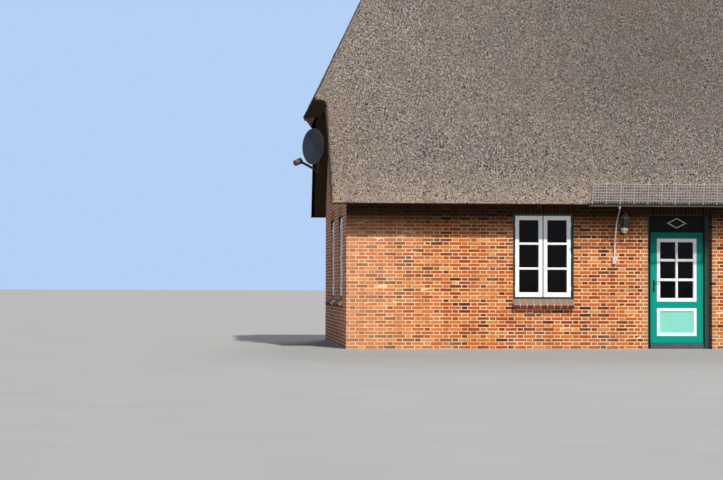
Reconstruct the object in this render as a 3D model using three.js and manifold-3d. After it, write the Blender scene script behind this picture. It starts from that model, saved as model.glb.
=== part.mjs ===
// A thatched cottage of red brick, one storey high, with a half-hipped reed roof.
// Millimetres, +Z up. The origin is the centre of the footprint at ground level.
// The front faces -Y and the length runs along X. Local frames of windows, door,
// lantern and dish have x to the right, y into the wall and z up.

import * as THREE from 'three';
import { mergeVertices } from 'three/addons/utils/BufferGeometryUtils.js';
import Module from 'manifold-3d';

const wasm = await Module();
wasm.setup();

// Gap between touching pieces
const GAP = 0.3;

// Brick courses, and the walls
const COURSE = 1000 / 15;
const LENGTH = 12600;
const DEPTH = 6480;
const WALL = 360;
const HALF_L = LENGTH / 2;
const HALF_D = DEPTH / 2;

// Roof: both long slopes, and the half-hips at the ends
const THATCH = 330;
const PITCH = THREE.MathUtils.degToRad(54.5);
const EAVE_Z = 2620 + COURSE;
const EAVE_OUT = 580;
const EAVE_Y = HALF_D + EAVE_OUT;
const RIDGE_Z = EAVE_Z + EAVE_Y * Math.tan(PITCH);
const VERGE_OUT_LOW = 300;
const VERGE_OUT_HIGH = 330;
const VERGE_CORNER_R = 150;
const HIP_PITCH = THREE.MathUtils.degToRad(64.5);
const HIP_EAVE_Z = 4690 + COURSE;
const HIP_OUT = 580;
const HIP_EAVE_X = HALF_L + HIP_OUT;
const HIP_EAVE_Y = EAVE_Y - (HIP_EAVE_Z - EAVE_Z) / Math.tan(PITCH);
const RIDGE_END_X = HIP_EAVE_X - (RIDGE_Z - HIP_EAVE_Z) / Math.tan(HIP_PITCH);

// Ridge cap and chimney
const CAP_SIDE = 460;
const CAP_THICK = 130;
const CAP_LIP = 91;
const CAP_SHOULDER = 391;
const CAP_PEAK = 175;
const CAP_END_OUT = 90;
const STACK = 640;
const STACK_ABOVE_RIDGE = 900;
const CROWN_OUT = 45;
const CROWN_TALL = 3 * COURSE;
const FLUE = 270;
const FLUE_BOTTOM_Z = 3200;

// Floors
const FLOOR_TOP = 80;
const LEDGE = 120;
const ATTIC_Z = 2600;
const ATTIC_THICK = 200;

// Windows: the opening in the wall, the outer frame and the pair of casements
const WINDOW_W = 1150;
const WINDOW_Z = 14 * COURSE;
const WINDOW_H = 24 * COURSE;
const WINDOW_SET_BACK = 40;
const WINDOW_FRAME_DEEP = 70;
const CASEMENT_W = 1070;
const CASEMENT_H = 1522;
const CASEMENT_DEEP = 45;
const CASEMENT_PROUD = 5;
const CASEMENT_LAP = 5;
const CASEMENT_STILE = 87;
const CASEMENT_TOP = 80;
const CASEMENT_BOTTOM = 87;
const GLAZING_BAR = 45;
const PANES_HIGH = 3;
const SEAM = 5;
const SEAM_DEEP = 12;
const GLASS = 4;
const FRONT_WINDOW_X = 2600;
const GABLE_WINDOW_FRONT_Y = -1600;
const GABLE_WINDOW_REAR_Y = 860;

// Sloping brick sill, as an outline of y and z from the opening's outer bottom edge
const SILL_SLOPE = THREE.MathUtils.degToRad(35);
const SILL_BRICK = 71;
const SILL_RUN = 133;
const SILL_TOP_Z = -4;

// Doorway, door frame, threshold and transom panel
const DOOR_W = 1230;
const DOOR_TOP_Z = 38 * COURSE;
const DOOR_SET_BACK = 230;
const DOOR_FRAME_DEEP = 80;
const DOOR_CLEAR = 6;
const LEAF_W = 1010;
const LEAF_THICK = 50;
const LEAF_LOW_Z = 104;
const LEAF_TOP_Z = 2204;
const THRESHOLD_PROUD = 15;
const TRANSOM_BAR = 52;
const FRAME_HEAD = 40;
const PANEL_THICK = 24;
const DIAMOND_W = 384;
const DIAMOND_H = 208;
const DIAMOND_STROKE = 26;
const DIAMOND_PROUD = 6;
const SMALL_DIAMOND_W = 60;

// Door leaf: white glazing frame with six panes, and the panel below
const LIGHT_W = 763;
const LIGHT_LOW_Z = 889;
const LIGHT_TOP_Z = 2086;
const LIGHT_STILE = 68;
const LIGHT_RAIL = 69;
const LIGHT_BAR = 53;
const LIGHT_PANES_HIGH = 3;
const MOULDING_PROUD = 6;
const DOOR_GLASS_RECESS = 8;
const LOW_PANEL_LOW_Z = 239;
const LOW_PANEL_TOP_Z = 765;
const LOW_PANEL_BORDER = 58;
const LOW_PANEL_DEEP = 10;

// Hinges at the right jamb, on the room side
const HINGE_HEIGHTS = [350, 1150, 1950];
const KNUCKLE_R = 10;
const KNUCKLE_H = 40;
const PIN_R = 6;
const PIN_HOLE_R = 6.6;
const HINGE_OFFSET = 12;
const HINGE_PLATE_W = 48;
const HINGE_PLATE = 4;
const HINGE_PLATE_START = 1;

// Door handle
const HANDLE_X = -443;
const LEVER_Z = 1262;
const HANDLE_PLATE_W = 38;
const HANDLE_PLATE_H = 230;
const HANDLE_PLATE_TOP_Z = 1297;
const HANDLE_PLATE = 6;
const SPINDLE_R = 8;
const SPINDLE_HOLE_R = 9;
const LEVER_LENGTH = 125;
const LEVER_STAND_OFF = 45;
const LEVER_SECTION = 18;

// Wire guard in front of the eave over the door. It leans outwards on two rails, which hang
// on arms under the thatch. Heights are along the guard, from its lower edge.
const GUARD_FRONT = 3942;
const GUARD_LOW_Z = EAVE_Z - 42;
const GUARD_LONG = 454;
const GUARD_LEAN = THREE.MathUtils.degToRad(13);
const RAIL_L = 3736;
const RAIL = 6;
const LOWER_RAIL = [3, 27];
const UPPER_RAIL = [44, 64];
const STRAP_W = 24;
const ARM_BACK = 3700;
const ROD_SPACING = 259;
const RODS = 15;
const ROD = 6;
const ROD_W = 14;
const ROD_FOOT = 50;
const WIRE = 5;
const WIRE_HEIGHTS = [90, 268, 446];
const CLIP = 4;

// Conduit from the eave to the small box on the wall, as y and z
const CONDUIT_X = -1258;
const CONDUIT_R = 13;
const CONDUIT_ROUTE = [[-3755, 2686], [-3742, 2592], [-3600, 2475], [-3470, 2340],
  [-3390, 2176], [-3340, 2056], [-3290, 1890], [-3265, 1724]];
const CONDUIT_STEPS = 20;
const BOX_W = 76;
const BOX_DEEP = 50;
const BOX_LOW_Z = 1592;
const BOX_TOP_Z = 1723.3;

// Wall lantern, a little out of plumb. Heights are from its lowest point; base and cap are radius and height.
const LANTERN_X = -1091;
const LANTERN_Z = 2155;
const LANTERN_OUT = 130;
const LANTERN_LEAN = THREE.MathUtils.degToRad(4.5);
const LANTERN_SIDES = 6;
const LANTERN_TURN = Math.PI / LANTERN_SIDES;
const LANTERN_BASE_TOP = 112;
const LANTERN_BASE = [[0, 0], [14, 6], [14, 20], [48, 23], [50, 64], [71, 68],
  [73, LANTERN_BASE_TOP], [0, LANTERN_BASE_TOP]];
const LANTERN_CAP_LOW = 288;
const LANTERN_CAP = [[0, LANTERN_CAP_LOW], [92, LANTERN_CAP_LOW], [92, 326], [62, 352], [40, 376],
  [16, 384], [16, 398], [0, 413]];
const LANTERN_GLASS_R = 72;
const LANTERN_GLASS = 3;
const LANTERN_POST = 9;
const LANTERN_POST_R = 77;
const LANTERN_ARM_W = 26;
const LANTERN_ARM_Z = [78, 102];
const LANTERN_PLATE_W = 84;
const LANTERN_PLATE_Z = [30, 190];
const LANTERN_PLATE = 12;

// Satellite dish on the left gable
const DISH_X = -6885;
const DISH_Y = -2400;
const DISH_Z = 3820;
const DISH_TURN = THREE.MathUtils.degToRad(-57);
const DISH_R = 345;
const DISH_BOWL = 70;
const DISH_SHEET = 5;
const DISH_BOSS_R = 45;
const DISH_BOSS = 34;
const MAST_R = 20;
const MAST_LOW = -500;
const MAST_TOP = 130;
const BRACKET_Z = -200;
const BRACKET_R = 17;
const BRACKET_PLATE = 170;
const BRACKET_PLATE_THICK = 8;
const FEED_Y = -350;
const FEED_Z = -311;
const FEED_TILT = THREE.MathUtils.degToRad(22);
const FEED_R = 60;
const FEED_LENGTH = 150;
const FEED_ARM = 50;
const FEED_ARM_END = [-290, -300];
const FEED_ARM_LOW = -468;

const BRICK = finish(0xb4552f, 0.9);
const CONCRETE = finish(0x8f8c86, 0.95);
const PLANKS = finish(0x9b7a52, 0.8);
const REED = finish(0x8a7b6b, 1);
const HEATHER = finish(0x5f5145, 1);
const WHITE_PAINT = finish(0xf2f2ee, 0.45);
const DARK_GREEN = finish(0x1d3a30, 0.5);
const TEAL = finish(0x00a185, 0.4);
const PANE = finish(0x10161a, 0.08);
const BOARD_GREY = finish(0x4c4d55, 0.7);
const BRONZE = finish(0x5a4632, 0.4, 1);
const ZINC = finish(0x55585a, 0.5, 0.8);
const GALVANISED = finish(0x9a9c9c, 0.45, 0.9);
const PLASTIC = finish(0xe6e3da, 0.5);
const VERDIGRIS = finish(0x6f8a78, 0.6, 0.4);
const DISH_GREY = finish(0x3a4450, 0.5);
const STEEL = finish(0x2e3236, 0.5, 0.8);

function finish(color, roughness, metalness = 0) {
  return new THREE.MeshStandardMaterial({ color, roughness, metalness });
}

// Closed solid from a geometry: shared corners merged, flat triangles dropped, faces turned outwards
function solid(geometry) {
  const bare = geometry.clone();
  bare.deleteAttribute('normal');
  bare.deleteAttribute('uv');
  const merged = mergeVertices(bare, 1e-3);
  const points = merged.attributes.position;
  const corners = Array.from(merged.index.array);
  const triangles = [];
  let volume = 0;
  const a = new THREE.Vector3();
  const b = new THREE.Vector3();
  const c = new THREE.Vector3();
  for (let i = 0; i < corners.length; i += 3) {
    const [p, q, r] = corners.slice(i, i + 3);
    if (p === q || q === r || r === p) continue;
    a.fromBufferAttribute(points, p);
    b.fromBufferAttribute(points, q);
    c.fromBufferAttribute(points, r);
    volume += a.dot(b.cross(c));
    triangles.push([p, q, r]);
  }
  const outward = volume > 0 ? triangles : triangles.map(([p, q, r]) => [p, r, q]);
  return new wasm.Manifold(new wasm.Mesh({
    numProp: 3,
    vertProperties: new Float32Array(points.array),
    triVerts: new Uint32Array(outward.flat()),
  }));
}

function mesh(name, body, material) {
  const result = body.getMesh();
  const geometry = new THREE.BufferGeometry();
  geometry.setAttribute('position', new THREE.BufferAttribute(result.vertProperties, 3));
  geometry.setIndex(new THREE.BufferAttribute(result.triVerts, 1));
  geometry.computeVertexNormals();
  const piece = new THREE.Mesh(geometry, material);
  piece.name = name;
  return piece;
}

const joined = (bodies) => bodies.reduce((whole, body) => whole.add(body));

const boxGeometry = (x0, x1, y0, y1, z0, z1) =>
  new THREE.BoxGeometry(x1 - x0, y1 - y0, z1 - z0)
    .translate((x0 + x1) / 2, (y0 + y1) / 2, (z0 + z1) / 2);

const box = (...limits) => solid(boxGeometry(...limits));

const outline = (points) => new THREE.Shape(points.map(([x, y]) => new THREE.Vector2(x, y)));

const rectangle = (x0, x1, y0, y1) => [[x0, y0], [x1, y0], [x1, y1], [x0, y1]];

const extruded = (shape, depth) =>
  new THREE.ExtrudeGeometry(shape, { depth, bevelEnabled: false, curveSegments: 6 });

// Outline of y and z, extruded along X
const alongX = (shape, x0, x1) => extruded(shape, x1 - x0)
  .applyMatrix4(new THREE.Matrix4().set(0, 0, 1, x0, 1, 0, 0, 0, 0, 1, 0, 0, 0, 0, 0, 1));

// Outline of x and z, extruded along Y
const alongY = (shape, y0, y1) => extruded(shape, y1 - y0).rotateX(Math.PI / 2).translate(0, y1, 0);

const cylinder = (radius, z0, z1, x = 0, y = 0, sides = 16) =>
  new THREE.CylinderGeometry(radius, radius, z1 - z0, sides)
    .rotateX(Math.PI / 2).translate(x, y, (z0 + z1) / 2);

// Profile of radius and height, turned about Z
const turned = (profile, sides) =>
  new THREE.LatheGeometry(profile.map(([r, z]) => new THREE.Vector2(r, z)), sides).rotateX(Math.PI / 2);

// Everything on the side of a plane that its normal points to
function beyond(point, normal) {
  const size = 40000;
  const geometry = new THREE.BoxGeometry(size, size, size).translate(0, 0, size / 2);
  const turn = new THREE.Quaternion()
    .setFromUnitVectors(new THREE.Vector3(0, 0, 1), normal.clone().normalize());
  return solid(geometry.applyQuaternion(turn).translate(point.x, point.y, point.z));
}

const at = (x, y, z) => new THREE.Vector3(x, y, z);

// Roof

// Upright plane through the hip line at one corner; sideX and sideY are -1 or 1
const hipPlaneNormal = (sideX, sideY) =>
  at(-sideX * HIP_EAVE_Y, sideY * (HIP_EAVE_X - RIDGE_END_X), 0).normalize();

// Half-space on the long slope's side of a hip line, or with towards = -1 on the hip's side
function hipCut(sideX, sideY, towards) {
  const normal = hipPlaneNormal(sideX, sideY).multiplyScalar(towards);
  const point = at(sideX * RIDGE_END_X, 0, 0).addScaledVector(normal, GAP / 2);
  return beyond(point, normal);
}

const stackHole = () => box(
  -STACK / 2 - GAP, STACK / 2 + GAP, -STACK / 2 - GAP, STACK / 2 + GAP, ATTIC_Z, RIDGE_Z + GAP);

// Long slope: its outline in the slope's plane has the flared verges, the rounded corners
// under the hip eaves, the hip lines and the ridge
function longSlope() {
  const hipV = (EAVE_Y - HIP_EAVE_Y) / Math.cos(PITCH);
  const ridgeV = EAVE_Y / Math.cos(PITCH);
  const low = HALF_L + VERGE_OUT_LOW;
  const high = HALF_L + VERGE_OUT_HIGH;
  const shape = new THREE.Shape();
  shape.moveTo(-low, 0);
  shape.lineTo(low, 0);
  shape.lineTo(high, hipV - VERGE_CORNER_R);
  shape.absarc(high + VERGE_CORNER_R, hipV - VERGE_CORNER_R, VERGE_CORNER_R, Math.PI, Math.PI / 2, true);
  shape.lineTo(HIP_EAVE_X, hipV);
  shape.lineTo(RIDGE_END_X, ridgeV);
  shape.lineTo(-RIDGE_END_X, ridgeV);
  shape.lineTo(-HIP_EAVE_X, hipV);
  shape.absarc(-high - VERGE_CORNER_R, hipV - VERGE_CORNER_R, VERGE_CORNER_R, Math.PI / 2, 0, true);
  const slab = extruded(shape, THATCH).translate(0, 0, -THATCH).rotateX(PITCH).translate(0, -EAVE_Y, EAVE_Z);
  return solid(slab)
    .intersect(beyond(at(0, 0, EAVE_Z), at(0, 0, 1)))
    .intersect(beyond(at(0, -GAP / 2, 0), at(0, -1, 0)))
    .intersect(hipCut(-1, -1, 1))
    .intersect(hipCut(1, -1, 1))
    .subtract(stackHole());
}

function leftHip() {
  const apexV = (HIP_EAVE_X - RIDGE_END_X) / Math.cos(HIP_PITCH);
  const slab = extruded(outline([[-HIP_EAVE_Y, 0], [HIP_EAVE_Y, 0], [0, apexV]]), THATCH)
    .translate(0, 0, -THATCH).rotateX(HIP_PITCH).rotateZ(-Math.PI / 2)
    .translate(-HIP_EAVE_X, 0, HIP_EAVE_Z);
  return solid(slab)
    .intersect(beyond(at(0, 0, HIP_EAVE_Z), at(0, 0, 1)))
    .intersect(hipCut(-1, -1, -1))
    .intersect(hipCut(-1, 1, -1));
}

// A saddle along the ridge, from x0 to x1
function ridgeCap(x0, x1) {
  const along = (distance, lift) => {
    const y = -distance * Math.cos(PITCH) - lift * Math.sin(PITCH);
    const z = RIDGE_Z - distance * Math.sin(PITCH) + lift * Math.cos(PITCH);
    return [y, z];
  };
  const seat = RIDGE_Z + GAP / Math.cos(PITCH);
  const left = [along(CAP_SIDE, GAP), along(CAP_SIDE, CAP_LIP), along(CAP_SHOULDER, CAP_THICK),
    along(CAP_THICK, CAP_THICK)];
  const right = left.map(([y, z]) => [-y, z]).reverse();
  return solid(alongX(outline([[0, seat], ...left, [0, RIDGE_Z + CAP_PEAK], ...right]), x0, x1));
}

// Walls

// Half-space under one long slope's inner face; side is -1 in front and 1 behind
function underSlope(side) {
  const normal = at(0, side * Math.sin(PITCH), Math.cos(PITCH));
  const point = at(0, side * EAVE_Y, EAVE_Z).addScaledVector(normal, -THATCH - GAP);
  return beyond(point, normal.negate());
}

function underHip(side) {
  const normal = at(side * Math.sin(HIP_PITCH), 0, Math.cos(HIP_PITCH));
  const point = at(side * HIP_EAVE_X, 0, HIP_EAVE_Z).addScaledVector(normal, -THATCH - GAP);
  return beyond(point, normal.negate());
}

const underRoof = (body) => body
  .intersect(underSlope(-1))
  .intersect(underSlope(1))
  .intersect(underHip(-1))
  .intersect(underHip(1));

const turnedTo = (geometry, [x, y, z], turn) => geometry.rotateZ(turn).translate(x, y, z);

// Where the windows are: middle of the opening's bottom edge on the wall's face, and the turn about Z
const WINDOWS = {
  front_left_window: [[-FRONT_WINDOW_X, -HALF_D, WINDOW_Z], 0],
  front_right_window: [[FRONT_WINDOW_X, -HALF_D, WINDOW_Z], 0],
  rear_left_window: [[-FRONT_WINDOW_X, HALF_D, WINDOW_Z], Math.PI],
  rear_right_window: [[FRONT_WINDOW_X, HALF_D, WINDOW_Z], Math.PI],
  left_gable_front_window: [[-HALF_L, GABLE_WINDOW_FRONT_Y, WINDOW_Z], -Math.PI / 2],
  left_gable_rear_window: [[-HALF_L, GABLE_WINDOW_REAR_Y, WINDOW_Z], -Math.PI / 2],
  right_gable_front_window: [[HALF_L, -GABLE_WINDOW_REAR_Y, WINDOW_Z], Math.PI / 2],
  right_gable_rear_window: [[HALF_L, -GABLE_WINDOW_FRONT_Y, WINDOW_Z], Math.PI / 2],
};

// Sloping row of header bricks, its back edge under the window frame
function sillOutline() {
  const back = WINDOW_SET_BACK;
  const tip = [back - SILL_RUN, SILL_TOP_Z - SILL_RUN * Math.tan(SILL_SLOPE)];
  const down = [SILL_BRICK * Math.sin(SILL_SLOPE), -SILL_BRICK * Math.cos(SILL_SLOPE)];
  const lower = [tip[0] + down[0], tip[1] + down[1]];
  const reach = back * 2;
  return outline([[back, SILL_TOP_Z], tip, lower,
    [reach, lower[1] + (reach - lower[0]) * Math.tan(SILL_SLOPE)], [reach, SILL_TOP_Z]]);
}

// Cuts a window opening through a wall and lays its sill
function withWindow(wall, place, turn) {
  const half = WINDOW_W / 2;
  const hole = boxGeometry(-half, half, -1, WALL + 1, 0, WINDOW_H);
  const sillBed = boxGeometry(-half, half, -1, WINDOW_SET_BACK, -2 * COURSE, 1);
  const sill = alongX(sillOutline(), -half, half);
  return wall
    .subtract(solid(turnedTo(hole, place, turn)))
    .subtract(solid(turnedTo(sillBed, place, turn)))
    .add(solid(turnedTo(sill, place, turn)));
}

const floorLedge = (side) => {
  const ledgeY = HALF_D - WALL + LEDGE;
  const inner = HALF_D - WALL - 1;
  const [y0, y1] = side < 0 ? [-ledgeY, -inner] : [inner, ledgeY];
  return box(-HALF_L, HALF_L, y0, y1, ATTIC_Z, RIDGE_Z);
};

// Piece of a long wall between the gables, from x0 to x1 and z0 up to the thatch
function longWall(side, x0, x1, z0 = 0) {
  const y0 = side < 0 ? -HALF_D : HALF_D - WALL;
  return underRoof(box(x0, x1, y0, y0 + WALL, z0, RIDGE_Z)).subtract(floorLedge(side));
}

function walls() {
  const inner = HALF_L - WALL - GAP;
  const jamb = DOOR_W / 2;
  const left = longWall(-1, -inner, -jamb);
  const right = longWall(-1, jamb, inner);
  const over = longWall(-1, -jamb + GAP, jamb - GAP, DOOR_TOP_Z);
  const rear = longWall(1, -inner, inner);
  const gable = underRoof(box(-HALF_L, -HALF_L + WALL, -HALF_D, HALF_D, 0, RIDGE_Z));
  const rearWindows = ['rear_left_window', 'rear_right_window'];
  const gableWindows = ['left_gable_front_window', 'left_gable_rear_window'];
  const pierced = (wall, names) => names.reduce((body, name) => withWindow(body, ...WINDOWS[name]), wall);
  const gableWall = pierced(gable, gableWindows);
  const rightGable = mesh('right_gable_wall', gableWall, BRICK);
  rightGable.rotation.z = Math.PI;
  return [
    mesh('front_wall_left', pierced(left, ['front_left_window']), BRICK),
    mesh('front_wall_right', pierced(right, ['front_right_window']), BRICK),
    mesh('front_wall_over_door', over, BRICK),
    mesh('rear_wall', pierced(rear, rearWindows), BRICK),
    mesh('left_gable_wall', gableWall, BRICK),
    rightGable,
  ];
}

// Ground floor with a tongue into the doorway, and the attic floor on the walls' ledges
function floors() {
  const x = HALF_L - WALL - GAP;
  const y = HALF_D - WALL - GAP;
  const tongue = DOOR_W / 2 - GAP;
  const tongueY = HALF_D - DOOR_SET_BACK - DOOR_FRAME_DEEP - GAP;
  const slab = outline([[-x, -y], [-tongue, -y], [-tongue, -tongueY], [tongue, -tongueY], [tongue, -y],
    [x, -y], [x, y], [-x, y]]);
  const atticY = HALF_D - WALL + LEDGE - GAP;
  return [
    mesh('floor_slab', solid(extruded(slab, FLOOR_TOP)), CONCRETE),
    mesh('attic_floor', box(-x, x, -atticY, atticY, ATTIC_Z + GAP, ATTIC_Z + ATTIC_THICK), PLANKS),
  ];
}

function roof() {
  const slope = longSlope();
  const hip = leftHip();
  const rear = mesh('rear_thatch', slope, REED);
  rear.rotation.z = Math.PI;
  const rightHip = mesh('right_hip_thatch', hip, REED);
  rightHip.rotation.z = Math.PI;
  const capEnd = RIDGE_END_X + CAP_END_OUT;
  const capStart = STACK / 2 + 2 * GAP;
  return [
    mesh('front_thatch', slope, REED),
    rear,
    mesh('left_hip_thatch', hip, REED),
    rightHip,
    mesh('ridge_cap_left', ridgeCap(-capEnd, -capStart), HEATHER),
    mesh('ridge_cap_right', ridgeCap(capStart, capEnd), HEATHER),
  ];
}

function chimney() {
  const half = STACK / 2;
  const low = ATTIC_Z + ATTIC_THICK + GAP;
  const top = RIDGE_Z + STACK_ABOVE_RIDGE;
  const wide = half + CROWN_OUT;
  const crownLow = top - CROWN_TALL - COURSE;
  const stack = box(-half, half, -half, half, low, top)
    .add(box(-wide, wide, -wide, wide, crownLow, crownLow + CROWN_TALL))
    .subtract(box(-FLUE / 2, FLUE / 2, -FLUE / 2, FLUE / 2, FLUE_BOTTOM_Z, top + 1));
  return mesh('chimney', stack, BRICK);
}

// Windows: frame, casement pair with glazing bars, and one sheet of glass behind the bars

function windowBody() {
  const outerX = WINDOW_W / 2 - GAP;
  const front = WINDOW_SET_BACK;
  const edge = (WINDOW_H - CASEMENT_H) / 2;
  const innerX = CASEMENT_W / 2 - CASEMENT_LAP;
  const frameShape = outline(rectangle(-outerX, outerX, GAP, WINDOW_H - GAP));
  frameShape.holes.push(outline(
    rectangle(-innerX, innerX, edge + CASEMENT_LAP, WINDOW_H - edge - CASEMENT_LAP)));
  const frame = solid(alongY(frameShape, front, front + WINDOW_FRAME_DEEP));

  const sashFront = front - CASEMENT_PROUD;
  const sashBack = sashFront + CASEMENT_DEEP;
  const paneW = CASEMENT_W / 2 - 2 * CASEMENT_STILE;
  const clearH = CASEMENT_H - CASEMENT_TOP - CASEMENT_BOTTOM - (PANES_HIGH - 1) * GLAZING_BAR;
  const paneH = clearH / PANES_HIGH;
  let sash = box(-CASEMENT_W / 2, CASEMENT_W / 2, sashFront, sashBack, edge, WINDOW_H - edge)
    .subtract(box(-SEAM / 2, SEAM / 2, sashFront - 1, sashFront + SEAM_DEEP, 0, WINDOW_H));
  for (const side of [-1, 1]) {
    const middle = side * CASEMENT_W / 4;
    for (let row = 0; row < PANES_HIGH; row += 1) {
      const z = edge + CASEMENT_BOTTOM + row * (paneH + GLAZING_BAR);
      sash = sash.subtract(
        box(middle - paneW / 2, middle + paneW / 2, sashFront - 1, sashBack + 1, z, z + paneH));
    }
  }
  return frame.add(sash);
}

function windowGlass() {
  const edge = (WINDOW_H - CASEMENT_H) / 2 + CASEMENT_LAP + GAP;
  const x = CASEMENT_W / 2 - CASEMENT_LAP - GAP;
  const y = WINDOW_SET_BACK - CASEMENT_PROUD + CASEMENT_DEEP + GAP;
  return box(-x, x, y, y + GLASS, edge, WINDOW_H - edge);
}

function windows() {
  const body = windowBody();
  const glass = windowGlass();
  return Object.entries(WINDOWS).map(([name, [place, turn]]) => {
    const group = new THREE.Group();
    group.position.set(...place);
    group.rotation.z = turn;
    group.add(mesh(name, body, WHITE_PAINT), mesh(`${name}_glass`, glass, PANE));
    return group;
  });
}

// Door, in a local frame with y measured from the wall's face

const FRAME_Y = DOOR_SET_BACK;
const BACK_Y = FRAME_Y + DOOR_FRAME_DEEP;
const LEAF_Y = BACK_Y - LEAF_THICK;
const PIVOT_X = LEAF_W / 2 + DOOR_CLEAR / 2;
const PIVOT_Y = BACK_Y + HINGE_OFFSET;

// Plate and knuckle at one height; side is 1 on the jamb and -1 on the leaf
function hingeHalf(side, z) {
  const inner = PIVOT_X + side * HINGE_PLATE_START;
  const outer = inner + side * HINGE_PLATE_W;
  const plate = box(Math.min(inner, outer), Math.max(inner, outer), BACK_Y - 1, BACK_Y + HINGE_PLATE,
    z, z + KNUCKLE_H);
  return plate.add(solid(cylinder(KNUCKLE_R, z, z + KNUCKLE_H, PIVOT_X, PIVOT_Y)));
}

function doorFrame() {
  const x = DOOR_W / 2 - GAP;
  const inner = LEAF_W / 2 + DOOR_CLEAR;
  const top = DOOR_TOP_Z - GAP;
  const barLow = LEAF_TOP_Z + DOOR_CLEAR;
  const shape = outline([[-x, 0], [-inner, 0], [-inner, barLow], [inner, barLow], [inner, 0], [x, 0],
    [x, top], [-x, top]]);
  shape.holes.push(outline(rectangle(-inner, inner, barLow + TRANSOM_BAR, top - FRAME_HEAD)));
  const halves = HINGE_HEIGHTS.map((z) => hingeHalf(1, z)
    .add(solid(cylinder(PIN_R, z, z + 2 * KNUCKLE_H, PIVOT_X, PIVOT_Y))));
  return joined([solid(alongY(shape, FRAME_Y, BACK_Y)), ...halves]);
}

function doorLeaf() {
  const x = LEAF_W / 2;
  const light = LIGHT_W / 2;
  const front = LEAF_Y - MOULDING_PROUD;
  const slab = solid(alongY(outline(rectangle(-x, x, LEAF_LOW_Z, LEAF_TOP_Z)), LEAF_Y, BACK_Y));
  const mouldings = [[LIGHT_LOW_Z, LIGHT_TOP_Z], [LOW_PANEL_LOW_Z, LOW_PANEL_TOP_Z]]
    .map(([z0, z1]) => box(-light, light, front, LEAF_Y + 1, z0, z1));
  const panelX = light - LOW_PANEL_BORDER;
  const panel = box(-panelX, panelX, front - 1, LEAF_Y + LOW_PANEL_DEEP,
    LOW_PANEL_LOW_Z + LOW_PANEL_BORDER, LOW_PANEL_TOP_Z - LOW_PANEL_BORDER);
  const paneW = (LIGHT_W - 2 * LIGHT_STILE - LIGHT_BAR) / 2;
  const clearH = LIGHT_TOP_Z - LIGHT_LOW_Z - 2 * LIGHT_RAIL - (LIGHT_PANES_HIGH - 1) * LIGHT_BAR;
  const paneH = clearH / LIGHT_PANES_HIGH;
  const panes = [];
  for (const side of [-1, 1]) {
    const middle = side * (paneW + LIGHT_BAR) / 2;
    for (let row = 0; row < LIGHT_PANES_HIGH; row += 1) {
      const z = LIGHT_LOW_Z + LIGHT_RAIL + row * (paneH + LIGHT_BAR);
      panes.push(box(middle - paneW / 2, middle + paneW / 2, front - 1, BACK_Y + 1, z, z + paneH));
    }
  }
  const rebate = LIGHT_STILE / 2;
  const glassRebate = box(-light + rebate, light - rebate, BACK_Y - DOOR_GLASS_RECESS, BACK_Y + 1,
    LIGHT_LOW_Z + rebate, LIGHT_TOP_Z - rebate);
  const spindleHole = solid(cylinder(SPINDLE_HOLE_R, -BACK_Y - 1, -LEAF_Y + 1).rotateX(Math.PI / 2)
    .translate(HANDLE_X, 0, LEVER_Z));
  const pinHoles = [];
  const halves = HINGE_HEIGHTS.map((z) => {
    const low = z + KNUCKLE_H + GAP;
    pinHoles.push(solid(cylinder(PIN_HOLE_R, low - 1, low + KNUCKLE_H + 1, PIVOT_X, PIVOT_Y)));
    return hingeHalf(-1, low);
  });
  return [panel, ...panes, glassRebate, spindleHole, ...pinHoles]
    .reduce((leaf, cut) => leaf.subtract(cut), joined([slab, ...mouldings, ...halves]));
}

function doorGlass() {
  const rebate = LIGHT_STILE / 2 + GAP;
  const x = LIGHT_W / 2 - rebate;
  const y = BACK_Y - DOOR_GLASS_RECESS + GAP;
  return box(-x, x, y, y + GLASS, LIGHT_LOW_Z + rebate, LIGHT_TOP_Z - rebate);
}

// Plates and levers on both faces of the leaf, joined by the spindle
function doorHandle() {
  const bodies = [solid(cylinder(SPINDLE_R, -BACK_Y - LEVER_STAND_OFF, -LEAF_Y + LEVER_STAND_OFF)
    .rotateX(Math.PI / 2).translate(HANDLE_X, 0, LEVER_Z))];
  const half = HANDLE_PLATE_W / 2;
  const grip = LEVER_SECTION / 2;
  for (const [face, out] of [[LEAF_Y, -1], [BACK_Y, 1]]) {
    const near = face + out * GAP;
    const far = near + out * HANDLE_PLATE;
    bodies.push(box(HANDLE_X - half, HANDLE_X + half, Math.min(near, far), Math.max(near, far),
      HANDLE_PLATE_TOP_Z - HANDLE_PLATE_H, HANDLE_PLATE_TOP_Z));
    const end = face + out * LEVER_STAND_OFF;
    bodies.push(box(HANDLE_X - grip, HANDLE_X + LEVER_LENGTH, end - grip / 2, end + grip / 2,
      LEVER_Z - grip, LEVER_Z + grip));
  }
  return joined(bodies);
}

function diamond(width, height) {
  return [[-width / 2, 0], [0, -height / 2], [width / 2, 0], [0, height / 2]];
}

// Board above the door with a raised diamond outline round a small diamond
function transomPanel() {
  const x = LEAF_W / 2 + DOOR_CLEAR - GAP;
  const low = LEAF_TOP_Z + DOOR_CLEAR + TRANSOM_BAR + GAP;
  const top = DOOR_TOP_Z - 2 * GAP - FRAME_HEAD;
  const y = FRAME_Y + (DOOR_FRAME_DEEP - PANEL_THICK) / 2;
  const middle = (low + top) / 2;
  const ring = outline(diamond(DIAMOND_W, DIAMOND_H));
  const inset = 1 - 2 * DIAMOND_STROKE / DIAMOND_H;
  ring.holes.push(outline(diamond(DIAMOND_W * inset, DIAMOND_H * inset)));
  const small = outline(diamond(SMALL_DIAMOND_W, SMALL_DIAMOND_W * DIAMOND_H / DIAMOND_W));
  const raised = [ring, small].map((shape) =>
    solid(alongY(shape, y - DIAMOND_PROUD, y + 1).translate(0, 0, middle)));
  return joined([box(-x, x, y, y + PANEL_THICK, low, top), ...raised]);
}

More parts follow.
